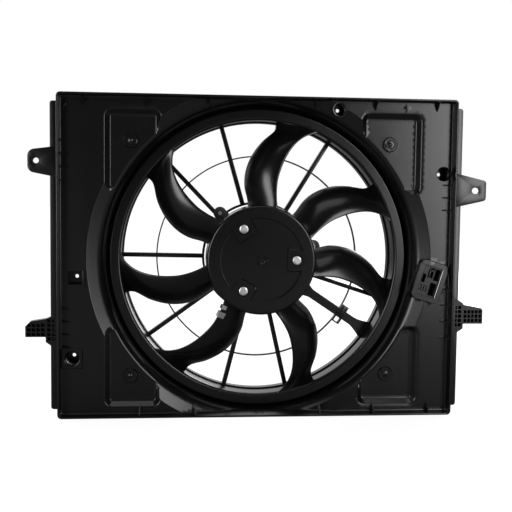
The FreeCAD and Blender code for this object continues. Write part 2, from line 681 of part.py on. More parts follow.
for side, wall in rim_wall.items():
    whole = fuse("rim_%s_whole" % side, [wall] + rim_added[side])
    rim[side] = cut("rim_%s" % side, whole, [ears_whole, feet_whole, plinth])

panel_whole = fuse("panel_whole", [cut("panel_plate", shell, [rim_zone])] + added)
panel_cut = cut("panel_cut", panel_whole, removed + [tunnel_block, sockets_whole, ears_whole, feet_whole])
shroud = cut("shroud", fuse("panel_with_plinth", [panel_cut, plinth]), [window_opening])
rib_room = [panel_whole, tunnel_block, plinth, window_opening, sockets_whole, pocket_room]
rear_ribs = cut("rear_ribs", fuse("rear_ribs_whole", ribs), rib_room)

# Motor ring: ring and three bosses that carry the motor
ring_y = ("dims.mount_boss_front", "dims.mount_ring_rear")
mount_outer = "fits.mount_ring_bore + dims.mount_ring_wall"
ring_parts = [rod("mount_ring_outer", "0", "0", ring_y, mount_outer)]
boss_holes = [rod("mount_ring_inner", "0", "0", ("dims.mount_boss_front - 5", "dims.mount_ring_rear + 1"),
                  "fits.mount_ring_bore")]
for i in range(3):
    at = polar("fits.mount_boss_circle", "(dims.lug_angle + %d)" % (120 * i))
    ring_parts.append(rod("mount_boss_%d" % i, *at, ring_y, "dims.mount_boss_radius"))
    boss_run = ("fits.mount_ring_bore - 2", "fits.mount_boss_circle")
    ring_parts.append(radial_box("boss_web_%d" % i, "(dims.lug_angle + %d)" % (120 * i), boss_run,
                                 ("-dims.mount_boss_radius", "dims.mount_boss_radius"), ring_y))
    boss_holes.append(rod("mount_boss_hole_%d" % i, *at,
                          ("dims.mount_boss_front - 1", "dims.mount_ring_rear + 1"),
                          "dims.screw_radius + dims.clearance_radius + dims.sleeve_wall"))
ring_whole = fuse("motor_ring_whole", ring_parts)
motor_ring = cut("motor_ring", ring_whole, boss_holes)

# Spokes: straight bars from the motor ring to the stator ring
spoke_y = ("dims.spoke_front", "dims.spoke_rear")
spoke_run = ("fits.mount_ring_bore + 1", "fits.stator_bore + 1")
spoke_room = cut("spoke_room", rod("spoke_reach", "0", "0", ring_y, "fits.stator_bore"), [ring_whole])
bars = []
for i, angle in enumerate((28, 58.5, 81.5, 106, 134, 179.3, 216, 256, 283, 342)):
    bars.append(radial_box("spoke_%d" % i, angle, spoke_run,
                           ("-dims.spoke_width / 2", "dims.spoke_width / 2"), spoke_y))
bars_whole = fuse("spoke_bars", bars)
spokes = common("spokes", bars_whole, spoke_room)

# Wiring spoke: a channel open at the rear that leads the motor's wiring, flared at both ends
channel_half = "dims.channel_width / 2"
wide_parts = [radial_box("channel_block", "dims.channel_angle", spoke_run,
                         ("-" + channel_half, channel_half), spoke_y)]
hub_end, rim_end = "fits.mount_ring_bore + 1", "fits.stator_bore + 1"
flares = (("hub", hub_end, "dims.flare_hub_length", "dims.flare_hub_width"),
          ("rim", rim_end, "-dims.flare_rim_length", "dims.flare_rim_width"))
for key, near, length, wide in flares:
    for way in (1, -1):
        corners = []
        for r, a in ((near, wide), ("%s + %s" % (near, length), "0"), (near, "0")):
            offset = "%d * (%s + %s)" % (way, channel_half, a)
            corners.append(("(%s) * cos(dims.channel_angle) - %s * sin(dims.channel_angle)" % (r, offset),
                            "(%s) * sin(dims.channel_angle) + %s * cos(dims.channel_angle)" % (r, offset)))
        wide_parts.append(slab("flare_%s_%s" % (key, "left" if way > 0 else "right"), corners, spoke_y))
groove_half = "(dims.channel_width / 2 - dims.channel_wall)"
groove_run = ("fits.mount_ring_bore + 3", "fits.stator_bore - 2")
groove = radial_box("channel_groove", "dims.channel_angle", groove_run, ("-" + groove_half, groove_half),
                    ("dims.spoke_front + dims.channel_wall", "dims.spoke_rear + 1"))
# A clip frame sits across the channel, with an open window beside it
frame_mid = "dims.guard_ring_radius + 5"
frame_run = (frame_mid + " - dims.clip_frame_width / 2", frame_mid + " + dims.clip_frame_width / 2")
frame_across = ("-dims.clip_frame_length / 2 - 1", "dims.clip_frame_length / 2 - 1")
wide_parts.append(radial_box("clip_frame", "dims.channel_angle", frame_run, frame_across,
                             ("dims.spoke_front - 1.5", "dims.spoke_rear - 3")))
clip_window = radial_box("clip_window", "dims.channel_angle",
                         (frame_run[0] + " + 2.6", frame_run[1] + " - 2.6"),
                         (frame_across[0] + " + 2.4",
                          "-dims.channel_width / 2 - 0.4"), ("dims.spoke_front - 3", "dims.spoke_rear"))
wide_whole = fuse("wide_whole", wide_parts)
wide_reach = cut("wide_reach", rod("wide_limit", "0", "0", ("dims.stator_front", "dims.mount_ring_rear"),
                                   "fits.stator_bore"), [ring_whole])
wiring_spoke = common("wiring_spoke", cut("wide_hollow", wide_whole, [groove, clip_window]), wide_reach)

# Guard ring: thin arcs between the spokes
guard_y = ("dims.spoke_front + 2", "dims.spoke_front + 2 + dims.guard_ring_depth")
guard_outer = rod("guard_outer", "0", "0", guard_y, "dims.guard_ring_radius + dims.guard_ring_wall / 2")
guard_inner = rod("guard_inner", "0", "0", ("dims.spoke_front", "dims.spoke_rear"),
                  "dims.guard_ring_radius - dims.guard_ring_wall / 2")
guard_ring = cut("guard_ring", guard_outer, [guard_inner, bars_whole, wide_whole])

# Fan: hub, a thin cup with a sunk disc in its face
face = "dims.hub_front"
hub = turned("hub", [
    ("0", face + " + dims.hub_recess"),
    ("dims.hub_recess_radius", face + " + dims.hub_recess"),
    ("dims.hub_recess_radius + 1", face),
    ("dims.hub_radius - dims.hub_chamfer", face),
    ("dims.hub_radius", face + " + dims.hub_chamfer"),
    ("dims.hub_radius", "dims.hub_rear"),
    ("dims.hub_radius - dims.hub_wall", "dims.hub_rear"),
    ("dims.hub_radius - dims.hub_wall", face + " + dims.hub_chamfer + dims.hub_wall"),
    ("dims.hub_radius - dims.hub_wall - 2", face + " + dims.hub_recess + dims.hub_wall"),
    ("0", face + " + dims.hub_recess + dims.hub_wall"),
])
hub_added, hub_removed = [], []
lobe_half = "dims.hub_lobe_width / 2"
for i in range(3):
    angle = 120 * i
    at = polar("dims.screw_circle", angle)
    hub_added.append(radial_box("hub_lobe_%d" % i, angle,
                                ("dims.hub_lobe_reach", "dims.hub_recess_radius + 1"),
                                ("-" + lobe_half, lobe_half), (face, face + " + dims.hub_recess + 0.5")))
    hub_removed.append(rod("hub_seat_%d" % i, *at, (face + " - 1", face + " + dims.screw_seat_depth"),
                           "dims.screw_seat_radius"))
    hub_removed.append(rod("hub_hole_%d" % i, *at, (face, "dims.cup_front + 1"),
                           "dims.screw_radius + dims.clearance_radius"))
boss_front = face + " + dims.hub_recess"
hub_added.append(rod("hub_centre_boss", "0", "0", (boss_front + " - 1", boss_front + " + 1"),
                     "dims.centre_boss_radius"))
hub_removed.append(cone("hub_centre_dimple", "0", "0", (boss_front + " - 1.5", boss_front + " + 0.8"),
                        "dims.centre_boss_radius - 1.6", "dims.centre_boss_radius - 3.5"))
# Land inside the hub that seats on the rotor cup, and ribs between the face and the wall
land_y = (face + " + dims.hub_recess + 1", "dims.cup_front")
land = rod("hub_land_outer", "0", "0", land_y, "dims.screw_circle + dims.screw_seat_radius")
land_hollow = rod("hub_land_inner", "0", "0",
                  (face + " + dims.hub_recess + dims.hub_wall", "dims.cup_front + 1"),
                  "dims.screw_circle - dims.screw_seat_radius")
hub_added.append(land)
for i in range(12):
    hub_added.append(radial_box("hub_rib_%d" % i, 15 + 30 * i,
                                ("dims.cup_radius + 4", "dims.hub_radius - 1"), ("-1", "1"),
                                (face + " + dims.hub_recess + 1", "dims.hub_rear - 14")))

# Fan: outer ring with a rounded inlet lip
lip = "dims.collar_bore - dims.ring_gap"
fan_ring = turned("fan_ring", [
    ("fits.ring_bore + 4", "dims.ring_front"),
    (lip, "dims.ring_front"),
    (lip, "dims.ring_front + 6"),
    (lip + " - dims.ring_lip_wall", "dims.ring_front + 6"),
    (lip + " - dims.ring_lip_wall", "dims.ring_front + dims.ring_lip_wall"),
    ("fits.ring_bore + dims.ring_wall + 3", "dims.ring_front + dims.ring_lip_wall"),
    ("fits.ring_bore + dims.ring_wall", "dims.ring_front + 7"),
    ("fits.ring_bore + dims.ring_wall", "dims.ring_rear"),
    ("fits.ring_bore", "dims.ring_rear"),
    ("fits.ring_bore", "dims.ring_front + 4"),
])

# Fan blades: seven swept blades, moulded on to the hub and into the ring
# Each section gives its leading and its trailing edge as an angle and a depth; they run from hub to ring.
# The blade sweeps clockwise, its leading edge is nearer the radiator, and it is thickest near the hub.
ROOT, TIP = "dims.hub_radius", "fits.ring_bore"
BLADE_WALL_RATIO = 1.15
STATIONS = (
    # share of the span, leading angle, leading depth, trailing angle, trailing depth, camber
    (-0.03, -29.5, 0.21, 1.7, 0.92, 5.0),
    (0.10, -24.6, 0.24, 1.0, 0.95, 6.0),
    (0.26, -22.4, 0.31, 1.2, 1.00, 7.0),
    (0.42, -23.0, 0.39, -0.8, 1.04, 7.5),
    (0.60, -24.9, 0.49, -5.4, 1.09, 7.0),
    (0.77, -27.7, 0.60, -11.6, 1.13, 6.0),
    (0.91, -31.4, 0.71, -17.6, 1.18, 4.5),
    (1.04, -37.0, 0.79, -18.2, 1.23, 3.5),
)
BLADE_ANGLES = (51, 100.6, 162.8, 213.4, 256, 313.4, 9.1)


def edge_point(share, angle, depth, reach):
    """Point at a share of the span and an angle; depth is a share of the hub's length behind its face."""
    root, end = size("dims.hub_radius - dims.hub_wall / 2"), size("fits.ring_bore + dims.ring_wall / 2")
    radius = root + (end - root) * share + reach
    length = size("dims.hub_rear - dims.hub_front")
    turn = math.radians(angle)
    return Vector(radius * math.cos(turn), size("dims.hub_front") + length * depth, radius * math.sin(turn))


def blade_sections():
    """Leading point, chord, normal and camber of every section."""
    ends = []
    for share, lead, lead_y, trail, trail_y, camber in STATIONS:
        slant = 5 * math.sin(math.pi * min(share, 1.0))
        ends.append((edge_point(share, lead, lead_y, slant), edge_point(share, trail, trail_y, -slant),
                     camber))
    rows = []
    for i, (lead, trail, camber) in enumerate(ends):
        before, after = ends[max(i - 1, 0)], ends[min(i + 1, len(ends) - 1)]
        chord = trail - lead
        normal = chord.cross(after[0] + after[1] - before[0] - before[1]).normalize()
        if normal.y > 0:
            normal = normal * -1
        rows.append((lead, chord, normal, camber))
    return rows


def middle_point(row, share):
    """Point on the arched middle line of a section at a share of its chord."""
    lead, chord, normal, camber = row
    return lead + chord * share + normal * (camber * 4 * share * (1 - share))


def blade_shape():
    """Ruled loft through closed sections, trimmed to run from the hub's wall to the ring's wall."""
    rows = blade_sections()
    wires = []
    for i, row in enumerate(rows):
        normal = row[2]
        wall = size("dims.blade_wall") * (BLADE_WALL_RATIO - 0.3 * i / (len(rows) - 1))
        front, back = [], []
        for share, thick in ((0.0, 0.5), (0.15, 0.9), (0.4, 1.0), (0.7, 0.9), (1.0, 0.5)):
            middle = middle_point(row, share)
            front.append(middle + normal * (wall * thick / 2))
            back.append(middle - normal * (wall * thick / 2))
        wires.append(Part.makePolygon(front + back[::-1] + [front[0]]))
    start, rear = Vector(0, size("dims.hub_front"), 0), size("dims.ring_rear - dims.hub_front")
    reach = Part.makeCylinder(size(TIP), rear, start, Vector(0, 1, 0))
    core = Part.makeCylinder(size(ROOT), rear, start, Vector(0, 1, 0))
    return Part.makeLoft(wires, True, True).common(reach.cut(core)).Solids[0]


one_blade = blade_shape()
blades = []
for i, angle in enumerate(BLADE_ANGLES):
    blade = doc.addObject("Part::Feature", "blade_%d" % i)
    blade.Shape = one_blade
    blade.Placement = Placement(Vector(), Rotation(Vector(0, -1, 0), angle))
    blades.append(blade)
fan_blades = fuse("fan_blades", blades)
fan_hub = cut("fan_hub", fuse("hub_parts", [hub] + hub_added), hub_removed + [land_hollow])

# Rotor: steel cup, magnets and shaft
cup_inner = "dims.cup_radius - dims.cup_wall"
cup_back = "dims.cup_front + dims.cup_wall"
cup = turned("cup", [
    ("dims.shaft_radius", "dims.cup_front"),
    ("dims.cup_radius - 2", "dims.cup_front"),
    ("dims.cup_radius", "dims.cup_front + 2"),
    ("dims.cup_radius", "dims.cup_rear"),
    (cup_inner, "dims.cup_rear"),
    (cup_inner, cup_back),
    ("dims.shaft_radius", cup_back),
])
cup_holes = []
for i in range(3):
    cup_holes.append(rod("cup_thread_%d" % i, *polar("dims.screw_circle", 120 * i),
                         ("dims.cup_front - 1", cup_back + " + 1"), "dims.screw_radius"))
rotor_cup = cut("rotor_cup", cup, cup_holes)

magnet_y = ("dims.cup_rear - 4 - dims.magnet_length", "dims.cup_rear - 4")
magnet_ring = turned("magnet_ring", [
    (cup_inner, magnet_y[0]), (cup_inner, magnet_y[1]),
    (cup_inner + " - dims.magnet_wall", magnet_y[1]), (cup_inner + " - dims.magnet_wall", magnet_y[0]),
])
magnet_count = int(size("dims.magnet_count"))
magnet_gaps = []
for i in range(magnet_count):
    magnet_gaps.append(radial_box("magnet_gap_%d" % i, 360.0 * i / magnet_count,
                                  (cup_inner + " - dims.magnet_wall - 2", "dims.cup_radius"),
                                  ("-1.5", "1.5"), (magnet_y[0] + " - 1", magnet_y[1] + " + 1")))
rotor_magnets = cut("rotor_magnets", magnet_ring, magnet_gaps)

rotor_shaft = turned("rotor_shaft", [
    ("0", "dims.shaft_front"), ("dims.shaft_radius - 0.8", "dims.shaft_front"),
    ("dims.shaft_radius", "dims.shaft_front + 0.8"), ("dims.shaft_radius", "dims.shaft_rear - 0.8"),
    ("dims.shaft_radius - 0.8", "dims.shaft_rear"), ("0", "dims.shaft_rear"),
])

# Hub screws: hexagon heads in the three seats, threaded into the cup
hub_screw_parts = []
seat = face + " + dims.screw_seat_depth"
for i in range(3):
    at = polar("dims.screw_circle", 120 * i)
    head = hexagon("hub_screw_head_%d" % i, *at, (seat + " - dims.screw_head_height", seat),
                   "dims.screw_head_radius")
    shank = rod("hub_screw_shank_%d" % i, *at, (seat, cup_back), "dims.screw_radius")
    hub_screw_parts.append(fuse("hub_screw_%d" % i, [head, shank]))

# Motor housing: bearing carrier, floor, skirt and three lugs on the shroud's bosses
bore = "dims.bearing_radius"
carrier = bore + " + dims.carrier_wall"
core_mid = "(%s + %s) / 2" % magnet_y
core_y = (core_mid + " - dims.stator_length / 2", core_mid + " + dims.stator_length / 2")
front_bearing_y = (core_y[0] + " - 1.5", core_y[0] + " - 1.5 + dims.bearing_width")
rear_bearing_y = ("dims.housing_front - 4", "dims.housing_front - 4 + dims.bearing_width")
floor_back = "dims.housing_front + dims.housing_floor"
housing_body = turned("housing_body", [
    (bore, front_bearing_y[0]),
    (carrier, front_bearing_y[0]),
    (carrier, "dims.housing_front"),
    ("dims.housing_radius - 6", "dims.housing_front"),
    ("dims.housing_radius", "dims.housing_front + 6"),
    ("dims.housing_radius", "dims.housing_rear"),
    ("dims.housing_radius - dims.housing_wall", "dims.housing_rear"),
    ("dims.housing_radius - dims.housing_wall", floor_back),
    (bore, floor_back),
    (bore, rear_bearing_y[0]),
    (bore + " - 2", rear_bearing_y[0]),
    (bore + " - 2", front_bearing_y[1]),
    (bore, front_bearing_y[1]),
])
housing_added, housing_removed = [], []
lug_y = ("dims.mount_boss_front - dims.lug_wall", "dims.mount_boss_front")
for i in range(3):
    angle = "(dims.lug_angle + %d)" % (120 * i)
    at = polar("fits.mount_boss_circle", angle)
    lug_half = "dims.lug_width / 2"
    housing_added.append(radial_box("lug_arm_%d" % i, angle,
                                    ("dims.housing_radius - 3", "fits.mount_boss_circle"),
                                    ("-" + lug_half, lug_half), lug_y))
    housing_added.append(rod("lug_end_%d" % i, *at, lug_y, lug_half))
    housing_added.append(radial_box("lug_rib_%d" % i, angle,
                                    ("dims.housing_radius - 2", "fits.mount_boss_circle - 7"),
                                    ("-1.5", "1.5"), (lug_y[0] + " - 5", lug_y[0] + " + 1")))
    housing_removed.append(rod("lug_thread_%d" % i, *at, (lug_y[0] + " - 1", lug_y[1] + " + 1"),
                               "dims.screw_radius"))
# Posts for the circuit board
for i in range(3):
    at = polar("fits.board_radius - 5", 60 + 120 * i)
    housing_added.append(rod("board_post_%d" % i, *at,
                             (floor_back + " - 1", floor_back + " + dims.board_standoff"), "3.5"))
# Threads for the cover screws, in columns inside the skirt
for i in range(4):
    at = polar("fits.cover_screw_circle", 35 + 90 * i)
    housing_added.append(rod("cover_column_%d" % i, *at,
                             ("dims.housing_front + 6", "dims.housing_rear + dims.gasket_wall"),
                             "dims.cover_column_radius"))
    housing_removed.append(rod("cover_thread_%d" % i, *at,
                               ("dims.housing_rear - 9", "dims.housing_rear + 3"),
                               "dims.cover_screw_radius"))
motor_housing = cut("motor_housing", fuse("housing_parts", [housing_body] + housing_added), housing_removed)


# Bearings: closed ball bearings, pressed into the carrier and running on the shaft
def bearing(name, y):
    inner = "dims.shaft_radius + dims.shaft_clearance"
    return turned(name, [(inner, y[0]), (bore, y[0]), (bore, y[1]), (inner, y[1])])


front_bearing = bearing("front_bearing", front_bearing_y)
rear_bearing = bearing("rear_bearing", rear_bearing_y)

# Retaining ring behind the rear bearing, in a groove of the shaft
retaining_ring = turned("retaining_ring", [
    ("dims.shaft_radius", rear_bearing_y[1] + " + 0.3"), ("dims.shaft_radius + 2.2",
                                                          rear_bearing_y[1] + " + 0.3"),
    ("dims.shaft_radius + 2.2", rear_bearing_y[1] + " + 1.5"), ("dims.shaft_radius",
                                                                rear_bearing_y[1] + " + 1.5"),
])

# Stator core: toothed laminations on the bearing carrier
tip_radius = "(%s - dims.magnet_wall - dims.air_gap)" % cup_inner
tooth_inner = "(%s + dims.core_back)" % carrier
core_blank = turned("core_blank", [(carrier, core_y[0]), (tip_radius, core_y[0]), (tip_radius, core_y[1]),
                                   (carrier, core_y[1])])
slots = [turned("slot_room", [
    (tooth_inner, core_y[0] + " - 1"), (tip_radius + " - dims.tooth_tip_wall", core_y[0] + " - 1"),
    (tip_radius + " - dims.tooth_tip_wall", core_y[1] + " + 1"), (tooth_inner, core_y[1] + " + 1"),
])]
tooth_count = int(size("dims.stator_tooth_count"))
teeth, coils = [], []
tooth_half = "dims.tooth_width / 2"
coil_half = "(dims.tooth_width / 2 + dims.coil_clearance + dims.coil_wall)"
room_half = "(dims.tooth_width / 2 + dims.coil_clearance)"
coil_run = (tooth_inner + " + 1.5", tip_radius + " - dims.tooth_tip_wall - 1")
for i in range(tooth_count):
    angle = 360.0 * i / tooth_count
    teeth.append(radial_box("tooth_%d" % i, angle,
                            (tooth_inner + " - 1", tip_radius + " - dims.tooth_tip_wall + 1"),
                            ("-" + tooth_half, tooth_half), core_y))
    slots.append(radial_box("slot_mouth_%d" % i, angle + 180.0 / tooth_count,
                            (tip_radius + " - dims.tooth_tip_wall - 1", tip_radius + " + 1"),
                            ("-1.6", "1.6"), (core_y[0] + " - 1", core_y[1] + " + 1")))
    wound = radial_box("coil_block_%d" % i, angle, coil_run, ("-" + coil_half, coil_half),
                       (core_y[0] + " - dims.coil_clearance - dims.coil_wall",
                        core_y[1] + " + dims.coil_clearance + dims.coil_wall"))
    room = radial_box("coil_room_%d" % i, angle, (coil_run[0] + " - 1", coil_run[1] + " + 1"),
                      ("-" + room_half, room_half),
                      (core_y[0] + " - dims.coil_clearance", core_y[1] + " + dims.coil_clearance"))
    coils.append(cut("coil_%d" % i, wound, [room]))
stator_core = fuse("stator_core", [cut("core_slotted", core_blank, slots)] + teeth)

# Electronics behind the floor: board, gasket and finned cover
board_y = (floor_back + " + dims.board_standoff", floor_back + " + dims.board_standoff + dims.board_wall")
board_blank = rod("board_blank", "0", "0", board_y, "fits.board_radius")
circuit_board = cut("circuit_board", board_blank,
                    [rod("board_middle_hole", "0", "0", (board_y[0] + " - 1", board_y[1] + " + 1"),
                         "dims.shaft_radius + 5")])

gasket_y = ("dims.housing_rear", "dims.housing_rear + dims.gasket_wall")
gasket_in, gasket_out = "dims.housing_radius - dims.housing_wall + 0.4", "dims.housing_radius - 0.4"
cover_face = gasket_y[1]
cover_holes = []
for i in range(4):
    at = polar("fits.cover_screw_circle", 35 + 90 * i)
    hole = "dims.cover_screw_radius + dims.clearance_radius"
    cover_holes.append(rod("cover_hole_%d" % i, *at,
                           (cover_face + " - 1", cover_face + " + dims.cover_wall + 1"), hole))
cover_gasket = turned("cover_gasket", [
    (gasket_in, gasket_y[0]), (gasket_out, gasket_y[0]), (gasket_out, gasket_y[1]), (gasket_in,
                                                                                     gasket_y[1]),
])

dome = "(fits.cover_screw_circle - 5.5)"
roof = "dims.cover_rear - dims.cover_fin_height"
cover_body = turned("cover_body", [
    ("fits.cover_screw_circle - 4", cover_face), ("dims.housing_radius", cover_face),
    ("dims.housing_radius", cover_face + " + dims.cover_wall"), (dome, cover_face + " + dims.cover_wall"),
    (dome + " - 5", roof), ("0", roof),
    ("0", roof + " - dims.cover_wall"), (dome + " - 5 - dims.cover_wall", roof + " - dims.cover_wall"),
    (dome + " - dims.cover_wall", cover_face + " + dims.cover_wall"),
])
# Parallel cooling fins across the dome
fins = []
fin_count = int(size("dims.cover_fin_count"))
fin_limit = cone("fin_limit", "0", "0", (roof + " - 1", "dims.cover_rear"), dome + " - 6", dome + " - 8")
for i in range(fin_count):
    middle = "(%s - 8) * %s" % (dome, 2.0 * (i + 0.5) / fin_count - 1)
    fins.append(box("fin_block_%d" % i, (middle + " - dims.cover_fin_wall / 2",
                                         middle + " + dims.cover_fin_wall / 2"),
                    (roof + " - 0.5", "dims.cover_rear"), ("-dims.housing_radius", "dims.housing_radius")))
breather_at = ("0", "-18")
fins_all = common("fins", fuse("fin_blocks", fins), fin_limit)
fins_clear = cut("fins_round_breather", fins_all,
                 [rod("breather_room", *breather_at, (roof, "dims.cover_rear + 1"),
                      "dims.breather_radius + 2")])
# Socket of the motor on the cover's side, towards the wide spoke
socket_half = "dims.socket_body_width / 2"
socket_y = ("dims.mount_ring_rear + 1", "dims.mount_ring_rear + 1 + dims.socket_body_depth")
motor_cover_room = turned("cover_room", [
    ("0", cover_face), (dome + " - dims.cover_wall", cover_face),
    (dome + " - dims.cover_wall", cover_face + " + dims.cover_wall"),
    (dome + " - 5 - dims.cover_wall", roof + " - dims.cover_wall"), ("0", roof + " - dims.cover_wall"),
])
socket_bed = radial_box("socket_bed", "dims.channel_angle", (dome + " - 14", dome + " + 4"),
                        ("-" + socket_half + " - 2", socket_half + " + 2"),
                        (cover_face + " + 1", socket_y[0]))
socket_seat_cut = radial_box("socket_seat_cut", "dims.channel_angle", ("0", dome + " + 20"),
                             ("-" + socket_half, socket_half), (socket_y[0], "dims.cover_rear + 1"))
seat_limit = radial_box("socket_seat_limit", "dims.channel_angle", (dome + " - 16", dome + " + 30"),
                        ("-60", "60"), (socket_y[0] + " - 1", "dims.cover_rear + 2"))
socket_notch = common("socket_notch", socket_seat_cut, seat_limit)
cover_solid = cut("cover_hollow", fuse("cover_parts", [cover_body, fins_clear, socket_bed]),
                  [motor_cover_room])
inner_wall = radial_box("socket_inner_wall", "dims.channel_angle",
                        (dome + " - 16 - dims.cover_wall", dome + " - 16"),
                        ("-" + socket_half + " - 2", socket_half + " + 2"), (cover_face + " + 1",
                                                                             roof + " - 0.5"))
motor_cover = cut("motor_cover", fuse("cover_with_wall", [cover_solid, inner_wall]),
                  cover_holes + [socket_notch,
                                 rod("breather_hole", *breather_at,
                                     (roof + " - dims.cover_wall - 1", roof + " + 1"), "3")])

socket_block = radial_box("socket_block", "dims.channel_angle",
                          (dome + " - 16", dome + " - 16 + dims.socket_body_reach + 14"),
                          ("-" + socket_half, socket_half), socket_y)
socket_hollow = radial_box("socket_hollow", "dims.channel_angle", (dome + " - 8", dome + " + 30"),
                           ("-" + socket_half + " + 2", socket_half + " - 2"), (socket_y[0] + " + 2",
                                                                                socket_y[1] + " - 2"))
pins = []
for i, across in enumerate((-7, -2.3, 2.3, 7)):
    pins.append(radial_box("socket_pin_%d" % i, "dims.channel_angle", (dome + " - 9", dome + " + 3"),
                           ("%s - 0.8" % across, "%s + 0.8" % across), (socket_y[0] + " + 5",
                                                                        socket_y[0] + " + 6.4")))
motor_socket = fuse("motor_socket", [cut("socket_shell", socket_block, [socket_hollow])] + pins)

breather_y = (roof, roof + " + dims.breather_height")
breather_cap = rod("breather_cap", *breather_at, breather_y, "dims.breather_radius")
breather_plug = fuse("breather_plug", [breather_cap, rod("breather_stem", *breather_at,
                                                         (roof + " - dims.cover_wall",
                                                          roof + " + 1"), "2.9")])

# Screws and sleeves of the fixed side
cover_screw_parts, mount_screw_parts, sleeve_parts = [], [], []
for i in range(4):
    at = polar("fits.cover_screw_circle", 35 + 90 * i)
    under = cover_face + " + dims.cover_wall"
    head = hexagon("cover_screw_head_%d" % i, *at, (under, under + " + dims.cover_screw_height"),
                   "dims.cover_screw_head")
    shank = rod("cover_screw_shank_%d" % i, *at, ("dims.housing_rear - 8", under),
                "dims.cover_screw_radius")
    cover_screw_parts.append(fuse("cover_screw_%d" % i, [head, shank]))
for i in range(3):
    at = polar("fits.mount_boss_circle", "(dims.lug_angle + %d)" % (120 * i))
    hole = "dims.screw_radius + dims.clearance_radius"
    outer = rod("sleeve_outer_%d" % i, *at, ("dims.mount_boss_front", "dims.mount_ring_rear"),
                hole + " + dims.sleeve_wall")
    inner = rod("sleeve_bore_%d" % i, *at, ("dims.mount_boss_front - 1", "dims.mount_ring_rear + 1"), hole)
    sleeve_parts.append(cut("sleeve_%d" % i, outer, [inner]))
    head = hexagon("mount_screw_head_%d" % i, *at,
                   ("dims.mount_ring_rear", "dims.mount_ring_rear + dims.screw_head_height"),
                   "dims.screw_head_radius + 1")
    shank = rod("mount_screw_shank_%d" % i, *at, (lug_y[0] + " - 2", "dims.mount_ring_rear"),
                "dims.screw_radius")
    mount_screw_parts.append(fuse("mount_screw_%d" % i, [head, shank]))

# Connector housing clipped behind the slanted window
holder_y = ("dims.panel_depth + 1", "dims.panel_depth + 26")
fit_gap = "0.4"
holder = window_block("holder_block", "(dims.window_width / 2 - %s)" % fit_gap,
                      "(dims.window_height / 2 - %s)" % fit_gap, holder_y)


def window_part(name, x, z, y):
    """Block with limits from the middle of the window along its own turned axes."""
    thing = doc.addObject("Part::Box", name)
    bind(thing, Length="%s - (%s)" % (x[1], x[0]), Height="%s - (%s)" % (z[1], z[0]),
         Width="%s - (%s)" % (y[1], y[0]))
    thing.Placement = Placement(Vector(), Rotation(Vector(0, 1, 0), size("dims.window_turn")))
    bind(thing, Placement__Rotation__Angle="dims.window_turn")
    at_x = "fits.window_x + (%s) * cos(dims.window_turn) + (%s) * sin(dims.window_turn)" % (x[0], z[0])
    at_z = "dims.window_z - (%s) * sin(dims.window_turn) + (%s) * cos(dims.window_turn)" % (x[0], z[0])
    return place(thing, at_x, y[0], at_z)


cavities = [
    window_part("holder_pocket_low", ("3", "12.5"), ("-20.5", "-1"),
                ("dims.panel_depth - 1", "dims.panel_depth + 18")),
    window_part("holder_pocket_top", ("5", "12.5"), ("3", "20.5"),
                ("dims.panel_depth - 1", "dims.panel_depth + 18")),
    window_part("holder_pocket_side", ("-12.5", "-7"), ("-4", "9"),
                ("dims.panel_depth - 1", "dims.panel_depth + 18")),
    window_part("holder_slot_near", ("-10", "-8.6"), ("-17", "-7"),
                ("dims.panel_depth - 1", "dims.panel_depth + 8")),
    window_part("holder_slot_mid", ("-6", "-4.6"), ("-17", "-7"),
                ("dims.panel_depth - 1", "dims.panel_depth + 8")),
    window_part("holder_slot_far", ("-2", "-0.6"), ("-17", "-7"),
                ("dims.panel_depth - 1", "dims.panel_depth + 8")),
    window_part("holder_latch_room", ("-5", "4"), ("6", "20.5"),
                ("dims.panel_depth - 1", "dims.panel_depth + 10")),
]
latch = [
    window_part("latch_left", ("-4.4", "-2.4"), ("5", "17"),
                ("dims.panel_depth - 2", "dims.panel_depth + 11")),
    window_part("latch_right", ("1.4", "3.4"), ("5", "17"),
                ("dims.panel_depth - 2", "dims.panel_depth + 11")),
    window_part("latch_bar", ("-4.4", "3.4"), ("15", "17"),
                ("dims.panel_depth - 2", "dims.panel_depth + 11")),
]
shoulder = window_block("holder_shoulder", "(dims.window_width / 2 + 4)", "(dims.window_height / 2 + 4)",
                        ("dims.panel_depth + 12", "dims.panel_depth + 15"))
shoulder_clear = cut("holder_flange", shoulder,
                     [cone("holder_limit", "0", "0", funnel_y,
                           "fits.funnel_mouth + 1.3 * dims.collar_wall + 0.4", collar_outer + " + 0.4")])
connector_housing = fuse("connector_housing",
                         [cut("holder_hollow", fuse("holder_solid", [holder, shoulder_clear]),
                              cavities)] + latch)


# Balance clips: U-shaped steel clips pushed on the leading edge of the blade at the lower left
def balance_clip(share, width, length):
    """Clip round the leading edge at a share of the span, width along the edge and length over the blade."""
    rows = blade_sections()
    spans = [station[0] for station in STATIONS]
    k = max(i for i, span in enumerate(spans[:-1]) if span <= share)
    part = (share - spans[k]) / (spans[k + 1] - spans[k])
    row = tuple(rows[k][i] * (1 - part) + rows[k + 1][i] * part for i in range(4))
    lead, chord, normal, camber = row
    inward = (middle_point(row, length / chord.Length) - lead).normalize()
    along = rows[k + 1][0] - rows[k][0]
    along = (along - inward * along.dot(inward)).normalize()
    normal = along.cross(inward).normalize()
    wall = size("dims.clip_wall")
    gap = size("dims.blade_wall") * BLADE_WALL_RATIO + 1.6
    outer = Part.makeBox(length + wall, gap + 2 * wall, width)
    inner = Part.makeBox(length + 1, gap, width + 2, Vector(wall, wall, -1))
    clip = outer.cut(inner)
    clip.translate(Vector(-wall - 0.4, -gap / 2 - wall, -width / 2))
    clip.Placement = Placement(lead, Rotation(inward, normal, along, "XYZ")) * clip.Placement
    return clip


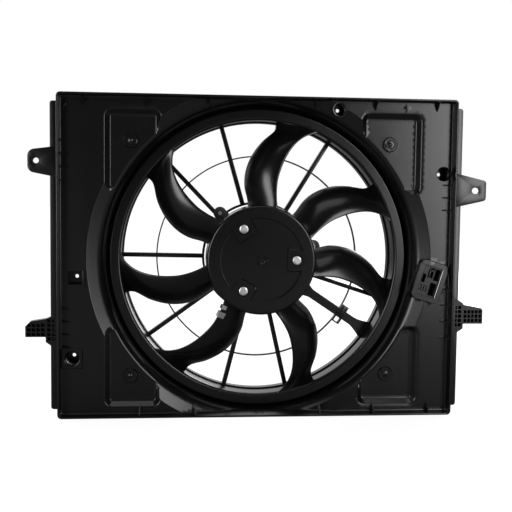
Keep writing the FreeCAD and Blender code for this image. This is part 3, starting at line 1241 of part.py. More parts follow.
clips = {}
for name, share, width, length in (("balance_clip_small", 0.075, 6, 7),
                                   ("balance_clip_large", 0.155, 9, 10)):
    clip = doc.addObject("Part::Feature", name)
    clip.Shape = balance_clip(share, width, length)
    clip.Placement = Placement(Vector(), Rotation(Vector(0, -1, 0), BLADE_ANGLES[4])) * clip.Placement
    clips[name] = clip

# Groups of like pieces share one sub-part each
hub_screws = fuse("hub_screws", hub_screw_parts)
stator_windings = fuse("stator_windings", coils)
cover_screws = fuse("cover_screws", cover_screw_parts)
motor_mount_screws = fuse("motor_mount_screws", mount_screw_parts)
mount_sleeves = fuse("mount_sleeves", sleeve_parts)

NODES = {
    "shroud": shroud,
    "rear_ribs": rear_ribs,
    "rim_top": rim["top"],
    "rim_bottom": rim["bottom"],
    "rim_left": rim["left"],
    "rim_right": rim["right"],
    "fan_collar": fan_collar,
    "stator_ring": stator_ring,
    "tab_sockets": tab_sockets,
    "mounting_ears": mounting_ears,
    "support_feet": support_feet,
    "motor_ring": motor_ring,
    "spokes": spokes,
    "wiring_spoke": wiring_spoke,
    "guard_ring": guard_ring,
    "connector_housing": connector_housing,
    "motor_housing": motor_housing,
    "motor_cover": motor_cover,
    "motor_socket": motor_socket,
    "breather_plug": breather_plug,
    "cover_gasket": cover_gasket,
    "circuit_board": circuit_board,
    "stator_core": stator_core,
    "stator_windings": stator_windings,
    "front_bearing": front_bearing,
    "rear_bearing": rear_bearing,
    "cover_screws": cover_screws,
    "motor_mount_screws": motor_mount_screws,
    "mount_sleeves": mount_sleeves,
    "fan_hub": fan_hub,
    "fan_blades": fan_blades,
    "fan_ring": fan_ring,
    "rotor_cup": rotor_cup,
    "rotor_magnets": rotor_magnets,
    "rotor_shaft": rotor_shaft,
    "retaining_ring": retaining_ring,
    "hub_screws": hub_screws,
    "balance_clip_small": clips["balance_clip_small"],
    "balance_clip_large": clips["balance_clip_large"],
}
doc.recompute()

# Every object and every sub-part is sound before anything is written
for item in doc.Objects:
    if "Invalid" in item.State or "Error" in item.State:
        raise RuntimeError("%s failed: %s" % (item.Name, item.State))
for name, item in NODES.items():
    item.Label = name
    if item.Shape.isNull() or not item.Shape.isValid() or not item.Shape.Solids:
        raise RuntimeError("%s has no sound solid" % name)
    print(name, len(item.Shape.Solids), "solids", round(item.Shape.Volume / 1000, 1), "cm3")
for name, item in NODES.items():
    item.Shape.exportStep("parts/%s.step" % name)
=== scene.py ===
import bmesh
import bpy
from math import ceil, cos, exp, hypot, pi, radians, sin, sqrt, tan
from mathutils import Matrix, Vector, geometry


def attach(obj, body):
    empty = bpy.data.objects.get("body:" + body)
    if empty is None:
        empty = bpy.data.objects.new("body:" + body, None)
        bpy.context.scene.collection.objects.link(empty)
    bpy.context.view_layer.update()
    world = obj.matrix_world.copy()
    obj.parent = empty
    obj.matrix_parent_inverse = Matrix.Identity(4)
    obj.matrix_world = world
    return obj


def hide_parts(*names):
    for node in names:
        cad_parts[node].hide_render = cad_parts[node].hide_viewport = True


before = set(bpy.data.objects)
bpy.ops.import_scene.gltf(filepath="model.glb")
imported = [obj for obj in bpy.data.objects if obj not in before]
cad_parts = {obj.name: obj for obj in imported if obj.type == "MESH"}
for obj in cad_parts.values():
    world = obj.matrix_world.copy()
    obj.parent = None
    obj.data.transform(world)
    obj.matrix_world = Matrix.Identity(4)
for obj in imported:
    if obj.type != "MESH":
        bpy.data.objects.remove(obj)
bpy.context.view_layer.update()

# Shroud moulding: rim, panel, bellmouth, fan collar and stator ring.
# One injection moulding in black glass-filled plastic. The four corners of the panel are sunk, the bellmouth
# falls into the collar round the fan, and the rim stands forward to seat against the radiator.
LEFT, RIGHT, LOW, TOP = -296.0, 288.0, -231.5, 239.0
MIDDLE_X, MIDDLE_Z = (LEFT + RIGHT) / 2, (LOW + TOP) / 2
HALF_X, HALF_Z = (RIGHT - LEFT) / 2, (TOP - LOW) / 2
PANEL, WALL, SUNK = 17.0, 2.5, 8.0
MOUTH, BORE, COLLAR = 255.5, 228.3, 230.8
ARCH, ARCH_DEPTH, FALL = 240.0, 17.0, 0.48
STEP_FRONT, STEP_REAR, STATOR_BORE, STATOR_REAR = 82.0, 85.0, 205.5, 96.0
ROUND_TURNS = [1.5 * i for i in range(240)]
PLINTH_X, PLINTH_Z, PLINTH_TURN, PLINTH_FRONT = 255.0, -31.0, radians(17), 13.0
PLINTH, WINDOW = (22, 30, 8), (15, 23, 1)
SOCKETS = {
    "right": (272.4, 130.0, 10.0, 42.0, 17.0),
    "top": (113.6, 222.9, 8.5, 36.5, 17.0),
    "left": (-276.3, -145.6, 10.5, 46.0, 15.0),
}
SOCKET_WALL = 2.5
POCKET = (-271.5, -27.0, 11.0, 10.0, 34.0)
PAD_Z, PAD_HALF_Z, PAD_CORNER = 158, 53, 4
BOSS_X, BOSS_Z = 192, 173
DIMPLES = ((214.5, 227), (-286, 223))


def outside(x, z, half_x, half_z, corner):
    """Distance outside a rounded rectangle about the origin, negative inside."""
    a, b = abs(x) - half_x + corner, abs(z) - half_z + corner
    return min(max(a, b), 0) + hypot(max(a, 0), max(b, 0)) - corner


def slope(share):
    """0 to 1 with softened ends, for the side of a sunk or raised field."""
    return sum(min(max(share + shift, 0), 1) for shift in (-0.12, -0.04, 0.04, 0.12)) / 4


def from_plinth(x, z):
    """Position along the connector window's own turned axes."""
    x, z = x - PLINTH_X, z - PLINTH_Z
    c, s = cos(PLINTH_TURN), sin(PLINTH_TURN)
    return x * c - z * s, x * s + z * c


def to_plinth(across, up):
    c, s = cos(PLINTH_TURN), sin(PLINTH_TURN)
    return PLINTH_X + across * c + up * s, PLINTH_Z - across * s + up * c


def bellmouth(radius):
    """Depth of the funnel: a chamfer, then an arch that turns into the collar."""
    share = min(max((ARCH - radius) / (ARCH - BORE), 0), 1)
    return PANEL + (MOUTH - radius) * FALL + ARCH_DEPTH * (1 - sqrt(1 - share * share))


def pad_width(x):
    """Middle and half width of the sunk fields on that side of the fan."""
    return (193.0, 38.0) if x > 0 else (188.5, 33.5)


def from_pad(x, z):
    """Distance outside the nearest sunk field, negative inside."""
    pad_x, pad_half = pad_width(x)
    return outside(abs(x) - pad_x, abs(z) - PAD_Z, pad_half, PAD_HALF_Z, PAD_CORNER)


def panel_depth(x, z):
    """Depth of the panel's front face behind the rim."""
    radius = hypot(x, z)
    depth = PANEL + SUNK * slope(1 - from_pad(x, z) / 7)
    boss = hypot(abs(x) - BOSS_X, abs(z) - BOSS_Z)
    if boss < 12:
        depth -= 3 * slope((11.4 - boss) / 1.4)
        depth += 1.2 * slope((6.6 - boss) / 0.8) - 1.0 * slope((3.2 - boss) / 2.2)
    if radius < MOUTH:
        depth = max(depth, bellmouth(radius))
    raised_square = outside(x - SOCKETS["left"][0], z - SOCKETS["left"][1], 14.5, 14.5, 2)
    depth -= 2 * slope(1 - raised_square / 0.8)
    for dot_x, dot_z in DIMPLES:
        depth -= 0.5 * slope((2.2 - hypot(x - dot_x, z - dot_z)) / 0.8)
    raised = outside(*from_plinth(x, z), *PLINTH)
    if raised < 0.9 and radius > BORE + 0.3:
        depth += (PLINTH_FRONT - depth) * slope(1 - raised / 0.9)
    return depth


def rim_height(x, z, depth):
    """Depth of the front face with the rim wall round the edge."""
    inset = -outside(x - MIDDLE_X, z - MIDDLE_Z, HALF_X, HALF_Z, 6)
    if inset > 4.6:
        return depth
    if inset > 2.94:
        share = (4.6 - inset) / 1.66
        return depth - 1.5 * (1 - sqrt(max(1 - share * share, 0)))
    edge = max(0.5 - inset, inset - 2.3, 0)
    return 0.5 - sqrt(max(0.25 - edge * edge, 0))


def frame_line(x, z, half_x, half_z, corner, step=4.0):
    """Closed outline of a rounded rectangle with points at most a step apart."""
    line = []
    for turn, (cx, cz) in enumerate(((1, 1), (-1, 1), (-1, -1), (1, -1))):
        mid_x, mid_z = x + cx * (half_x - corner), z + cz * (half_z - corner)
        for i in range(7):
            a = radians(90 * turn + 15 * i)
            line.append((mid_x + corner * cos(a), mid_z + corner * sin(a)))
    full = []
    for (x0, z0), (x1, z1) in zip(line, line[1:] + line[:1]):
        count = max(1, ceil(hypot(x1 - x0, z1 - z0) / step))
        full += [(x0 + (x1 - x0) * i / count, z0 + (z1 - z0) * i / count) for i in range(count)]
    return full


def circle(x, z, radius, turns):
    return [(x + radius * cos(radians(t)), z + radius * sin(radians(t))) for t in turns]


def relief(bm, loops, dots, front, back, in_front, in_back=None):
    """Plate with a shaped front and back over X and Z; the loops are lines that the triangles keep to."""
    points, lines = [], []
    for loop, kept in loops:
        first = len(points)
        points += [Vector(p) for p in loop]
        for i in range(len(loop)):
            j = (i + 1) % len(loop)
            if kept(*loop[i]) and kept(*loop[j]):
                lines.append((first + i, first + j))
    used = sorted({i for line in lines for i in line})
    order = {old: new for new, old in enumerate(used)}
    points = [points[i] for i in used] + [Vector(p) for p in dots]
    flat = geometry.delaunay_2d_cdt(points, [(order[a], order[b]) for a, b in lines], [], 0, 1e-4)
    spots, faces = flat[0], flat[2]
    sides = []
    for depth, wanted, turned_over in ((front, in_front, False), (back, in_back or in_front, True)):
        made, edges = {}, {}
        for face in faces:
            a, b, c = (spots[i] for i in face)
            if (b - a).cross(c - a) < 0:
                face = face[::-1]
            middle = (a + b + c) / 3
            if not wanted(middle.x, middle.y):
                continue
            for i in face:
                if i not in made:
                    made[i] = bm.verts.new((spots[i].x, depth(spots[i].x, spots[i].y), spots[i].y))
            bm.faces.new([made[i] for i in (face[::-1] if turned_over else face)])
            for i, j in zip(face, list(face[1:]) + [face[0]]):
                edges[i, j] = edges.get((i, j), 0) + 1
        sides.append((made, {e for e in edges if (e[1], e[0]) not in edges}))
    (made, rim), (made_back, rim_back) = sides
    for i, j in rim & rim_back:
        bm.faces.new((made[j], made[i], made_back[i], made_back[j]))


def turn_profile(bm, profile, turns, x=0.0, z=0.0, closed=False):
    """Surface that a profile of radius and depth makes as it turns about an axis along Y."""
    rings = []
    for radius, depth in profile:
        spots = circle(x, z, radius, turns if radius else turns[:1])
        rings.append([bm.verts.new((px, depth, pz)) for px, pz in spots])
    pairs = list(zip(rings, rings[1:])) + ([(rings[-1], rings[0])] if closed else [])
    count = len(turns)
    for one, two in pairs:
        for i in range(count):
            j = (i + 1) % count
            corners = [one[i % len(one)], one[j % len(one)], two[j % len(two)], two[i % len(two)]]
            corners = [v for k, v in enumerate(corners) if v not in corners[:k]]
            if len(corners) > 2:
                bm.faces.new(corners)


def add(nodes, kind, **values):
    """Shader node of a kind, with values for its inputs."""
    made = nodes.new("ShaderNode" + kind)
    for name, value in values.items():
        made.inputs[name.replace("_", " ")].default_value = value
    return made


def new_material(name):
    """Material with its shader, nodes and links."""
    made = bpy.data.materials.new(name)
    made.use_nodes = True
    return made, made.node_tree.nodes["Principled BSDF"], made.node_tree.nodes, made.node_tree.links


def moulded_plastic(name, colour, roughness):
    """Injection-moulded plastic: fine grain, slight flow streaks and uneven gloss."""
    material, shader, nodes, links = new_material(name)
    where = add(nodes, "TexCoord")
    fine, broad = add(nodes, "TexNoise", Scale=1400, Detail=3), add(nodes, "TexNoise", Scale=9, Detail=4)
    flow, stretch = add(nodes, "TexNoise", Scale=5, Detail=6), add(nodes, "Mapping", Scale=(9, 1, 0.8))
    gloss = add(nodes, "MapRange", To_Min=roughness - 0.05, To_Max=roughness + 0.06)
    bump = add(nodes, "Bump", Strength=0.12, Distance=0.00004)
    mix = add(nodes, "Mix")
    mix.data_type = "RGBA"
    mix.inputs["A"].default_value = (*(c * 0.88 for c in colour), 1)
    mix.inputs["B"].default_value = (*(c * 1.12 for c in colour), 1)
    for texture in (fine, broad):
        links.new(where.outputs["Object"], texture.inputs["Vector"])
    links.new(where.outputs["Object"], stretch.inputs["Vector"])
    links.new(stretch.outputs["Vector"], flow.inputs["Vector"])
    links.new(flow.outputs["Fac"], mix.inputs["Factor"])
    links.new(mix.outputs["Result"], shader.inputs["Base Color"])
    links.new(broad.outputs["Fac"], gloss.inputs["Value"])
    links.new(gloss.outputs["Result"], shader.inputs["Roughness"])
    links.new(fine.outputs["Fac"], bump.inputs["Height"])
    links.new(bump.outputs["Normal"], shader.inputs["Normal"])
    shader.inputs["IOR"].default_value = 1.5
    return material


def into_scene(name, data):
    """New object that shows a mesh, light or camera."""
    made = bpy.data.objects.new(name, data)
    bpy.context.scene.collection.objects.link(made)
    return made


def piece(name, bm, material, crease=32):
    """Object in metres from a mesh drawn in millimetres, smooth but for its sharp edges."""
    bmesh.ops.remove_doubles(bm, verts=bm.verts, dist=0.01)
    bmesh.ops.recalc_face_normals(bm, faces=bm.faces)
    bmesh.ops.scale(bm, vec=(0.001, 0.001, 0.001), verts=bm.verts)
    mesh = bpy.data.meshes.new(name)
    bm.to_mesh(mesh)
    bm.free()
    mesh.shade_smooth()
    mesh.set_sharp_from_angle(angle=radians(crease))
    mesh.materials.append(material)
    return into_scene(name, mesh)


def seat(made, body, slot, *nodes):
    """Fix a finished piece to its body and hide the CAD nodes that it stands for. The slot is not used."""
    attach(made, body)
    if nodes:
        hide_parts(*nodes)


shroud_black = moulded_plastic("shroud_black", (0.0035, 0.0035, 0.0038), 0.24)


def on_panel(x, z):
    """Is the spot on the panel, clear of the collar and of every opening?"""
    if outside(x - MIDDLE_X, z - MIDDLE_Z, HALF_X, HALF_Z, 6) > 0 or hypot(x, z) < BORE - 0.02:
        return False
    if any(hypot(x - sx, z - sz) < r + SOCKET_WALL - 0.02 for sx, sz, r, _, _ in SOCKETS.values()):
        return False
    if outside(x - POCKET[0], z - POCKET[1], POCKET[2], POCKET[3], 1) < 0:
        return False
    return outside(*from_plinth(x, z), *WINDOW) > 0


def clear_of_collar(x, z):
    return hypot(x, z) > BORE + 0.15


def anywhere(x, z):
    return True


loops = []
for inset in (0, 0.15, 0.5, 2.3, 2.65, 2.8, 2.94, 3.2, 3.7, 4.6):
    corner = 6 - inset if inset < 3.5 else max(6 - inset, 1.5)
    loops.append((frame_line(MIDDLE_X, MIDDLE_Z, HALF_X - inset, HALF_Z - inset, corner), clear_of_collar))
for radius in (MOUTH + 0.6, MOUTH, MOUTH - 0.6, 251, 246, 242, ARCH, 238, 236, 234, 232.3,
               COLLAR, 229.6, 228.8, BORE):
    loops.append((circle(0, 0, radius, ROUND_TURNS), anywhere if radius == BORE else clear_of_collar))
for side, up in ((1, 1), (-1, 1), (-1, -1), (1, -1)):
    pad_x, pad_half = pad_width(side)
    for grow in (-1, 0, 1, 6, 7, 8):
        line = frame_line(side * pad_x, up * PAD_Z, pad_half + grow, PAD_HALF_Z + grow, PAD_CORNER + grow)
        loops.append((line, clear_of_collar))
    for radius in (1.2, 2.2, 3.2, 5.7, 6.6, 9.9, 10.6, 11.5):
        loops.append((circle(side * BOSS_X, up * BOSS_Z, radius, range(0, 360, 12)), anywhere))
for x, z, radius, _, _ in SOCKETS.values():
    for grow in (SOCKET_WALL, SOCKET_WALL + 1):
        loops.append((circle(x, z, radius + grow, range(0, 360, 9)), anywhere))
for grow in (14.4, 14.9, 15.4):
    loops.append((frame_line(SOCKETS["left"][0], SOCKETS["left"][1], grow, grow, 2), anywhere))
for grow in (0, 1):
    loops.append((frame_line(POCKET[0], POCKET[1], POCKET[2] + grow, POCKET[3] + grow, 1 + grow), anywhere))
for grow in (-0.2, 0, 0.45, 0.9, 1.4):
    line = [to_plinth(a, b) for a, b in frame_line(0, 0, *(size + grow for size in PLINTH))]
    loops.append((line, clear_of_collar))
loops.append(([to_plinth(a, b) for a, b in frame_line(0, 0, *WINDOW)], anywhere))
for x, z in DIMPLES:
    for radius in (0.8, 1.6, 2.4):
        loops.append((circle(x, z, radius, range(0, 360, 30)), anywhere))
dots = []
for i in range(-60, 60):
    for j in range(-48, 49):
        x, z = 5.0 * i + 2.5 * (j % 2), 5.0 * j
        beside_pad = -2.5 < from_pad(x, z) < 10
        on_boss = hypot(abs(x) - BOSS_X, abs(z) - BOSS_Z) < 13
        on_plinth = -2 < outside(*from_plinth(x, z), *PLINTH) < 3
        if outside(x - MIDDLE_X, z - MIDDLE_Z, HALF_X - 6, HALF_Z - 6, 1) > 0 or hypot(x, z) < MOUTH + 3:
            continue
        if not (beside_pad or on_boss or on_plinth):
            dots.append((x, z))

shroud = bmesh.new()
relief(
    shroud, loops, dots,
    lambda x, z: rim_height(x, z, panel_depth(x, z)),
    lambda x, z: panel_depth(x, z) + WALL,
    on_panel,
    lambda x, z: on_panel(x, z) and hypot(x, z) > COLLAR - 0.02,
)
turn_profile(shroud, [
    (BORE, bellmouth(BORE)), (BORE, 60), (BORE, 81.2), (BORE - 0.8, STEP_FRONT), (STATOR_BORE + 0.8, STEP_FRONT),
    (STATOR_BORE, 82.8), (STATOR_BORE, 95.4), (STATOR_BORE + 0.6, STATOR_REAR), (207.5, STATOR_REAR), (208.1, 95.4),
    (208.1, STEP_REAR + 1), (209.1, STEP_REAR), (230.2, STEP_REAR), (COLLAR, 84.4), (COLLAR, 60),
    (COLLAR, bellmouth(COLLAR) + WALL),
], ROUND_TURNS)
shroud = piece("shroud_moulding", shroud, shroud_black)
seat(shroud, "module", "shroud_plastic", "shroud", "rim_top", "rim_bottom", "rim_left", "rim_right",
     "fan_collar", "stator_ring")

# Rim gussets: twenty-six small webs of the same plastic, moulded with the shroud.
# They stiffen the rim's walls against the panel.


def soften(bm, width, segments=2, sharper=0.5):
    """Round every edge that is sharper than an angle in radians."""
    edges = [e for e in bm.edges if len(e.link_faces) == 2 and e.calc_face_angle(0) > sharper]
    bmesh.ops.bevel(bm, geom=edges, offset=width, segments=segments, profile=0.6, affect="EDGES",
                    clamp_overlap=True)


def slab(bm, front, back):
    """Solid between two outlines with the same number of corners."""
    front, back = [bm.verts.new(corner) for corner in front], [bm.verts.new(corner) for corner in back]
    bm.faces.new(front)
    bm.faces.new(back[::-1])
    for i in range(len(front)):
        j = (i + 1) % len(front)
        bm.faces.new((front[j], front[i], back[i], back[j]))


def set_out(name, part, places, material):
    """Copies of one drawn part at places given as a point in mm and a turn in degrees, through geometry nodes."""
    tree = bpy.data.node_groups.new("set_out_" + name, "GeometryNodeTree")
    tree.interface.new_socket("Places", in_out="INPUT", socket_type="NodeSocketGeometry")
    chosen = tree.interface.new_socket("Part", in_out="INPUT", socket_type="NodeSocketObject")
    tree.interface.new_socket("Result", in_out="OUTPUT", socket_type="NodeSocketGeometry")
    nodes, links = tree.nodes, tree.links
    given, result = nodes.new("NodeGroupInput"), nodes.new("NodeGroupOutput")
    source = nodes.new("GeometryNodeObjectInfo")
    turn = nodes.new("GeometryNodeInputNamedAttribute")
    turn.data_type = "FLOAT_VECTOR"
    turn.inputs["Name"].default_value = "turn"
    facing = nodes.new("FunctionNodeEulerToRotation")
    copies = nodes.new("GeometryNodeInstanceOnPoints")
    real = nodes.new("GeometryNodeRealizeInstances")
    finish = nodes.new("GeometryNodeSetMaterial")
    finish.inputs["Material"].default_value = material
    links.new(given.outputs["Places"], copies.inputs["Points"])
    links.new(given.outputs["Part"], source.inputs["Object"])
    links.new(source.outputs["Geometry"], copies.inputs["Instance"])
    links.new(turn.outputs["Attribute"], facing.inputs["Euler"])
    links.new(facing.outputs["Rotation"], copies.inputs["Rotation"])
    links.new(copies.outputs["Instances"], real.inputs["Geometry"])
    links.new(real.outputs["Geometry"], finish.inputs["Geometry"])
    links.new(finish.outputs["Geometry"], result.inputs["Result"])
    spots = bpy.data.meshes.new(name + "_places")
    spots.from_pydata([[c / 1000 for c in spot] for spot, _ in places], [], [])
    turns = spots.attributes.new("turn", "FLOAT_VECTOR", "POINT")
    for i, (_, turned) in enumerate(places):
        turns.data[i].vector = [radians(t) for t in turned]
    holder = into_scene(name + "_places", spots)
    rule = holder.modifiers.new("set_out", "NODES")
    rule.node_group = tree
    rule[chosen.identifier] = part
    bpy.context.view_layer.update()
    mesh = bpy.data.meshes.new_from_object(holder.evaluated_get(bpy.context.evaluated_depsgraph_get()))
    mesh.name = name
    bpy.data.objects.remove(holder)
    bpy.data.objects.remove(part)
    return into_scene(name, mesh)


gusset = bmesh.new()
outline = [(0.0, 3.0), (1.0, 3.0), (14.0, PANEL + 0.3), (0.0, PANEL + 0.3)]
slab(gusset, [(a, b, -1.0) for a, b in outline], [(a, b, 1.0) for a, b in outline])
soften(gusset, 0.35)
gusset = piece("gusset", gusset, shroud_black)
places = [((x, 0, TOP - 2.9), (0, 90, 0)) for x in (-261, -169.5, -78, 76, 167, 260)]
places += [((x, 0, LOW + 2.9), (0, -90, 0)) for x in (-178, -95.5, 89.5, 171, 255)]
places += [((LEFT + 2.9, 0, z), (0, 0, 0)) for z in (172, 153, 134, 114.5, -72.5, -92, -110.5, -129)]
places += [((RIGHT - 2.9, 0, z), (0, 180, 0)) for z in (113.7, 95, 76.3, -42.2, -66.8, -91.7, -116.6)]
seat(set_out("rim_gussets", gusset, places, shroud_black), "module", "shroud_plastic")

# Rear ribs: twelve thin radial webs behind the panel, moulded with the shroud.
# They run out from the collar to the corners and follow the back of the sunk fields.
RIB_STEPS, RIB_HALF = 32, 1.2
ribs = bmesh.new()
for reach, turns in ((291, (22, 158, 202, 228, 312, 338)), (300, (48, 132)), (318, (35, 145, 215, 325))):
    for turn in turns:
        c, s = cos(radians(turn)), sin(radians(turn))
        near, far = [], []
        for i in range(RIB_STEPS + 1):
            radius = COLLAR - 0.5 + (reach - COLLAR + 0.5) * i / RIB_STEPS
            on_skin = panel_depth(radius * c, radius * s) + WALL - 0.6
            near.append((radius, min(on_skin, 46)))
            far.append((radius, max(46.2 - 26.0 * i / RIB_STEPS, min(on_skin + 0.8, 46.2))))
        edge = near + far[::-1]
        left, right = ([ribs.verts.new((radius * c - w * s, depth, radius * s + w * c)) for radius, depth in edge]
                       for w in (-RIB_HALF, RIB_HALF))
        for i in range(RIB_STEPS):
            ribs.faces.new((left[i], left[i + 1], left[-i - 2], left[-i - 1]))
            ribs.faces.new((right[-i - 1], right[-i - 2], right[i + 1], right[i]))
        for i in range(len(edge)):
            ribs.faces.new((left[i], left[i - 1], right[i - 1], right[i]))
seat(piece("panel_ribs", ribs, shroud_black), "module", "shroud_plastic", "rear_ribs")

# Square pocket: a well at the left of the panel, moulded with the shroud.
# It has a small drain hole in its floor and a raised edge on its right, where a cable clip hooks in.
pocket_x, pocket_z, half_x, half_z, floor_depth = POCKET
hole = (pocket_x + 1, pocket_z + 1, 2.6)


def on_well(x, z):
    """Is the spot on the well's walls or floor, clear of its hole?"""
    if hypot(x - hole[0], z - hole[1]) < hole[2]:
        return False
    return outside(x - pocket_x, z - pocket_z, half_x + WALL, half_z + WALL, 1) < 0.01


def well_front(x, z):
    return floor_depth if outside(x - pocket_x, z - pocket_z, half_x, half_z, 1) < -0.06 else PANEL + 0.2


def block(bm, x, y, z):
    """Square-edged block between two limits along each axis."""
    made = bmesh.ops.create_cube(bm, size=1.0)["verts"]
    bmesh.ops.scale(bm, vec=(x[1] - x[0], y[1] - y[0], z[1] - z[0]), verts=made)
    bmesh.ops.translate(bm, vec=((x[0] + x[1]) / 2, (y[0] + y[1]) / 2, (z[0] + z[1]) / 2), verts=made)


def take_in(bm, other):
    """Add a second drawing to the first."""
    drawn = bpy.data.meshes.new("drawn")
    other.to_mesh(drawn)
    other.free()
    bm.from_mesh(drawn)
    bpy.data.meshes.remove(drawn)


well = bmesh.new()
loops = [(frame_line(pocket_x, pocket_z, half_x + grow, half_z + grow, 1, 50), anywhere)
         for grow in (WALL, 0, -0.12)]
relief(well, loops + [(circle(*hole, range(0, 360, 15)), anywhere)], [], well_front,
       lambda x, z: floor_depth + WALL, on_well)
edge = bmesh.new()
block(edge, (pocket_x + half_x, pocket_x + half_x + WALL), (PANEL - 4, PANEL + 1),
      (pocket_z - half_z - 1, pocket_z + half_z + 1))
soften(edge, 0.5)
take_in(well, edge)
seat(piece("square_pocket", well, shroud_black), "module", "shroud_plastic")

# Side flanges: two thin strips of the same plastic, moulded with the shroud.
# They run down both sides of the rim and seal it against the car's body.


def rounded_outline(corners, radius, step=6):
    """Outline with each corner rounded; the radius is one number or one for each corner."""
    line = []
    count = len(corners)
    for i, corner in enumerate(corners):
        size = radius[i] if isinstance(radius, (list, tuple)) else radius
        here = Vector(corner)
        before, after = Vector(corners[i - 1]) - here, Vector(corners[(i + 1) % count]) - here
        if size <= 0:
            line.append(tuple(here))
            continue
        half = before.angle(after) / 2
        cut = min(size / tan(half), 0.48 * before.length, 0.48 * after.length)
        size = cut * tan(half)
        middle = here + (before.normalized() + after.normalized()).normalized() * (size / sin(half))
        start, end = here + before.normalized() * cut - middle, here + after.normalized() * cut - middle
        sweep = start.angle_signed(end)
        for k in range(step + 1):
            a = -sweep * k / step
            line.append((middle.x + start.x * cos(a) - start.y * sin(a),
                         middle.y + start.x * sin(a) + start.y * cos(a)))
    return line


def within(outline):
    """Test for spots inside an outline."""
    def test(x, z):
        hit = False
        for (x0, z0), (x1, z1) in zip(outline, outline[1:] + outline[:1]):
            if (z0 > z) != (z1 > z) and x < x0 + (x1 - x0) * (z - z0) / (z1 - z0):
                hit = not hit
        return hit
    return test


def plate(name, outline, holes, y, round_edge, material):
    """Moulded plate with an outline and holes, its edges rounded."""
    bm = bmesh.new()
    inside, open_to = within(outline), [within(hole) for hole in holes]
    relief(bm, [(line, anywhere) for line in [outline] + holes], [], lambda x, z: y[0], lambda x, z: y[1],
           lambda x, z: inside(x, z) and not any(test(x, z) for test in open_to))
    bmesh.ops.dissolve_limit(bm, angle_limit=0.01, verts=bm.verts, edges=bm.edges)
    soften(bm, round_edge, 2, 1.2)
    bmesh.ops.triangulate(bm, faces=[f for f in bm.faces if len(f.verts) > 4])
    return piece(name, bm, material)


for name, inner, outer in (("left_flange", LEFT, LEFT - 9.8), ("right_flange", RIGHT, RIGHT + 9.8)):
    side = 1 if outer > inner else -1
    corners = [(inner - side, -219), (outer, -219), (outer, 227), (inner - side, 227)]
    seat(plate(name, rounded_outline(corners, [0, 4, 4, 0]), [], (10.0, 12.5), 0.6, shroud_black),
         "module", "shroud_plastic")

# Mounting ears: two flat lugs of the same plastic, moulded with the shroud.
# Each takes a screw to the vehicle, the left one in a round hole and the right one in a slot.
left_hole = circle(LEFT - 29.3, 141.8, 4.0, range(0, 360, 12))
corners = [(LEFT + 1, 118.0), (LEFT + 1, 163.0), (LEFT - 41.5, 157.3), (LEFT - 41.5, 126.3)]
seat(plate("left_ear", rounded_outline(corners, [0, 0, 10, 10]), [left_hole], (9.5, 13.5), 0.7, shroud_black),
     "module", "shroud_plastic", "mounting_ears")
corners = [(RIGHT - 1, 80.3), (RIGHT + 48, 91.5), (RIGHT + 48, 120.5), (RIGHT - 1, 132.2)]
slot = circle(RIGHT + 32.8, 106, 4.5, range(-78, 91, 12)) + circle(RIGHT + 30.8, 106, 4.5, range(102, 271, 12))
seat(plate("right_ear", rounded_outline(corners, [0, 5, 5, 0]), [slot], (9.5, 13.5), 0.7, shroud_black),
     "module", "shroud_plastic")

# Support feet: two tongues of the same plastic, moulded with the shroud, which rest in brackets below.
# Small square cells from the front keep their walls even in thickness.
FEET = (
    ("left_foot", -1, LEFT, -101.5, 4,
     [(0, 21.5), (9, 19), (16, 16), (38, 12.5), (45.5, 5), (45.5, -10.5), (16.5, -10.5), (16.5, -18),
      (10, -22.5), (0, -30)]),
    ("right_foot", 1, RIGHT, -82.5, 5,
     [(0, 30), (10, 24), (17, 19), (17, 17.5), (45, 12), (47, 9), (47, -11.5), (17, -11.5), (17, -18.5),
      (11, -22.5), (0, -30)]),
)


def oblong(x, z, half_x, half_z):
    """Outline of a rectangle about its middle."""
    return [(x + a * half_x, z + b * half_z) for a, b in ((-1, -1), (1, -1), (1, 1), (-1, 1))]


for name, side, edge, height, columns, corners in FEET:
    wide, pitch = (5.0, 6.6) if side < 0 else (4.2, 5.7)
    cells = [(18 + pitch * column + wide / 2, -6.5 + 6.6 * level, wide / 2)
             for column in range(columns) for level in range(3)]
    cells += [(5.0 + 6.6 * column, -13.1 + 6.6 * level, 2.5) for column in range(2) for level in range(5)]
    cells = [(edge + side * a, height + b, half) for a, b, half in cells]
    outline = rounded_outline([(edge + side * a, height + b) for a, b in corners][::side], 1.2, 3)
    inside = within(outline)

    def foot_front(x, z):
        return 16.0 if any(abs(x - cx) < half - 0.1 and abs(z - cz) < 2.4 for cx, cz, half in cells) else 6.0

    loops = [(outline, anywhere)]
    for cx, cz, half in cells:
        loops += [(oblong(cx, cz, half - inset, 2.5 - inset), anywhere) for inset in (0, 0.15)]
    foot = bmesh.new()
    relief(foot, loops, [], foot_front, lambda x, z: 18.0, inside)
    seat(piece(name, foot, shroud_black), "module", "shroud_plastic", "support_feet")

# Tab sockets: three round blind cups of the same plastic, moulded with the panel.
# Each has a rounded mouth for a locating tab and a small drain hole in its floor.
for name, (x, z, radius, bottom, mouth) in SOCKETS.items():
    wall = radius + SOCKET_WALL
    cup = bmesh.new()
    turn_profile(cup, [
        (wall, mouth + 2), (wall, mouth), (radius + 0.9, mouth - 0.1), (radius + 0.3, mouth + 0.2),
        (radius, mouth + 0.9), (radius, bottom - 0.6), (radius - 0.6, bottom), (2.9, bottom), (2.6, bottom + 0.3),
        (2.6, bottom + SOCKET_WALL), (wall - 0.6, bottom + SOCKET_WALL), (wall, bottom + SOCKET_WALL - 0.6),
    ], [7.5 * i for i in range(48)], x, z, closed=True)
    seat(piece(name + "_tab_socket", cup, shroud_black), "module", "shroud_plastic", "tab_sockets")

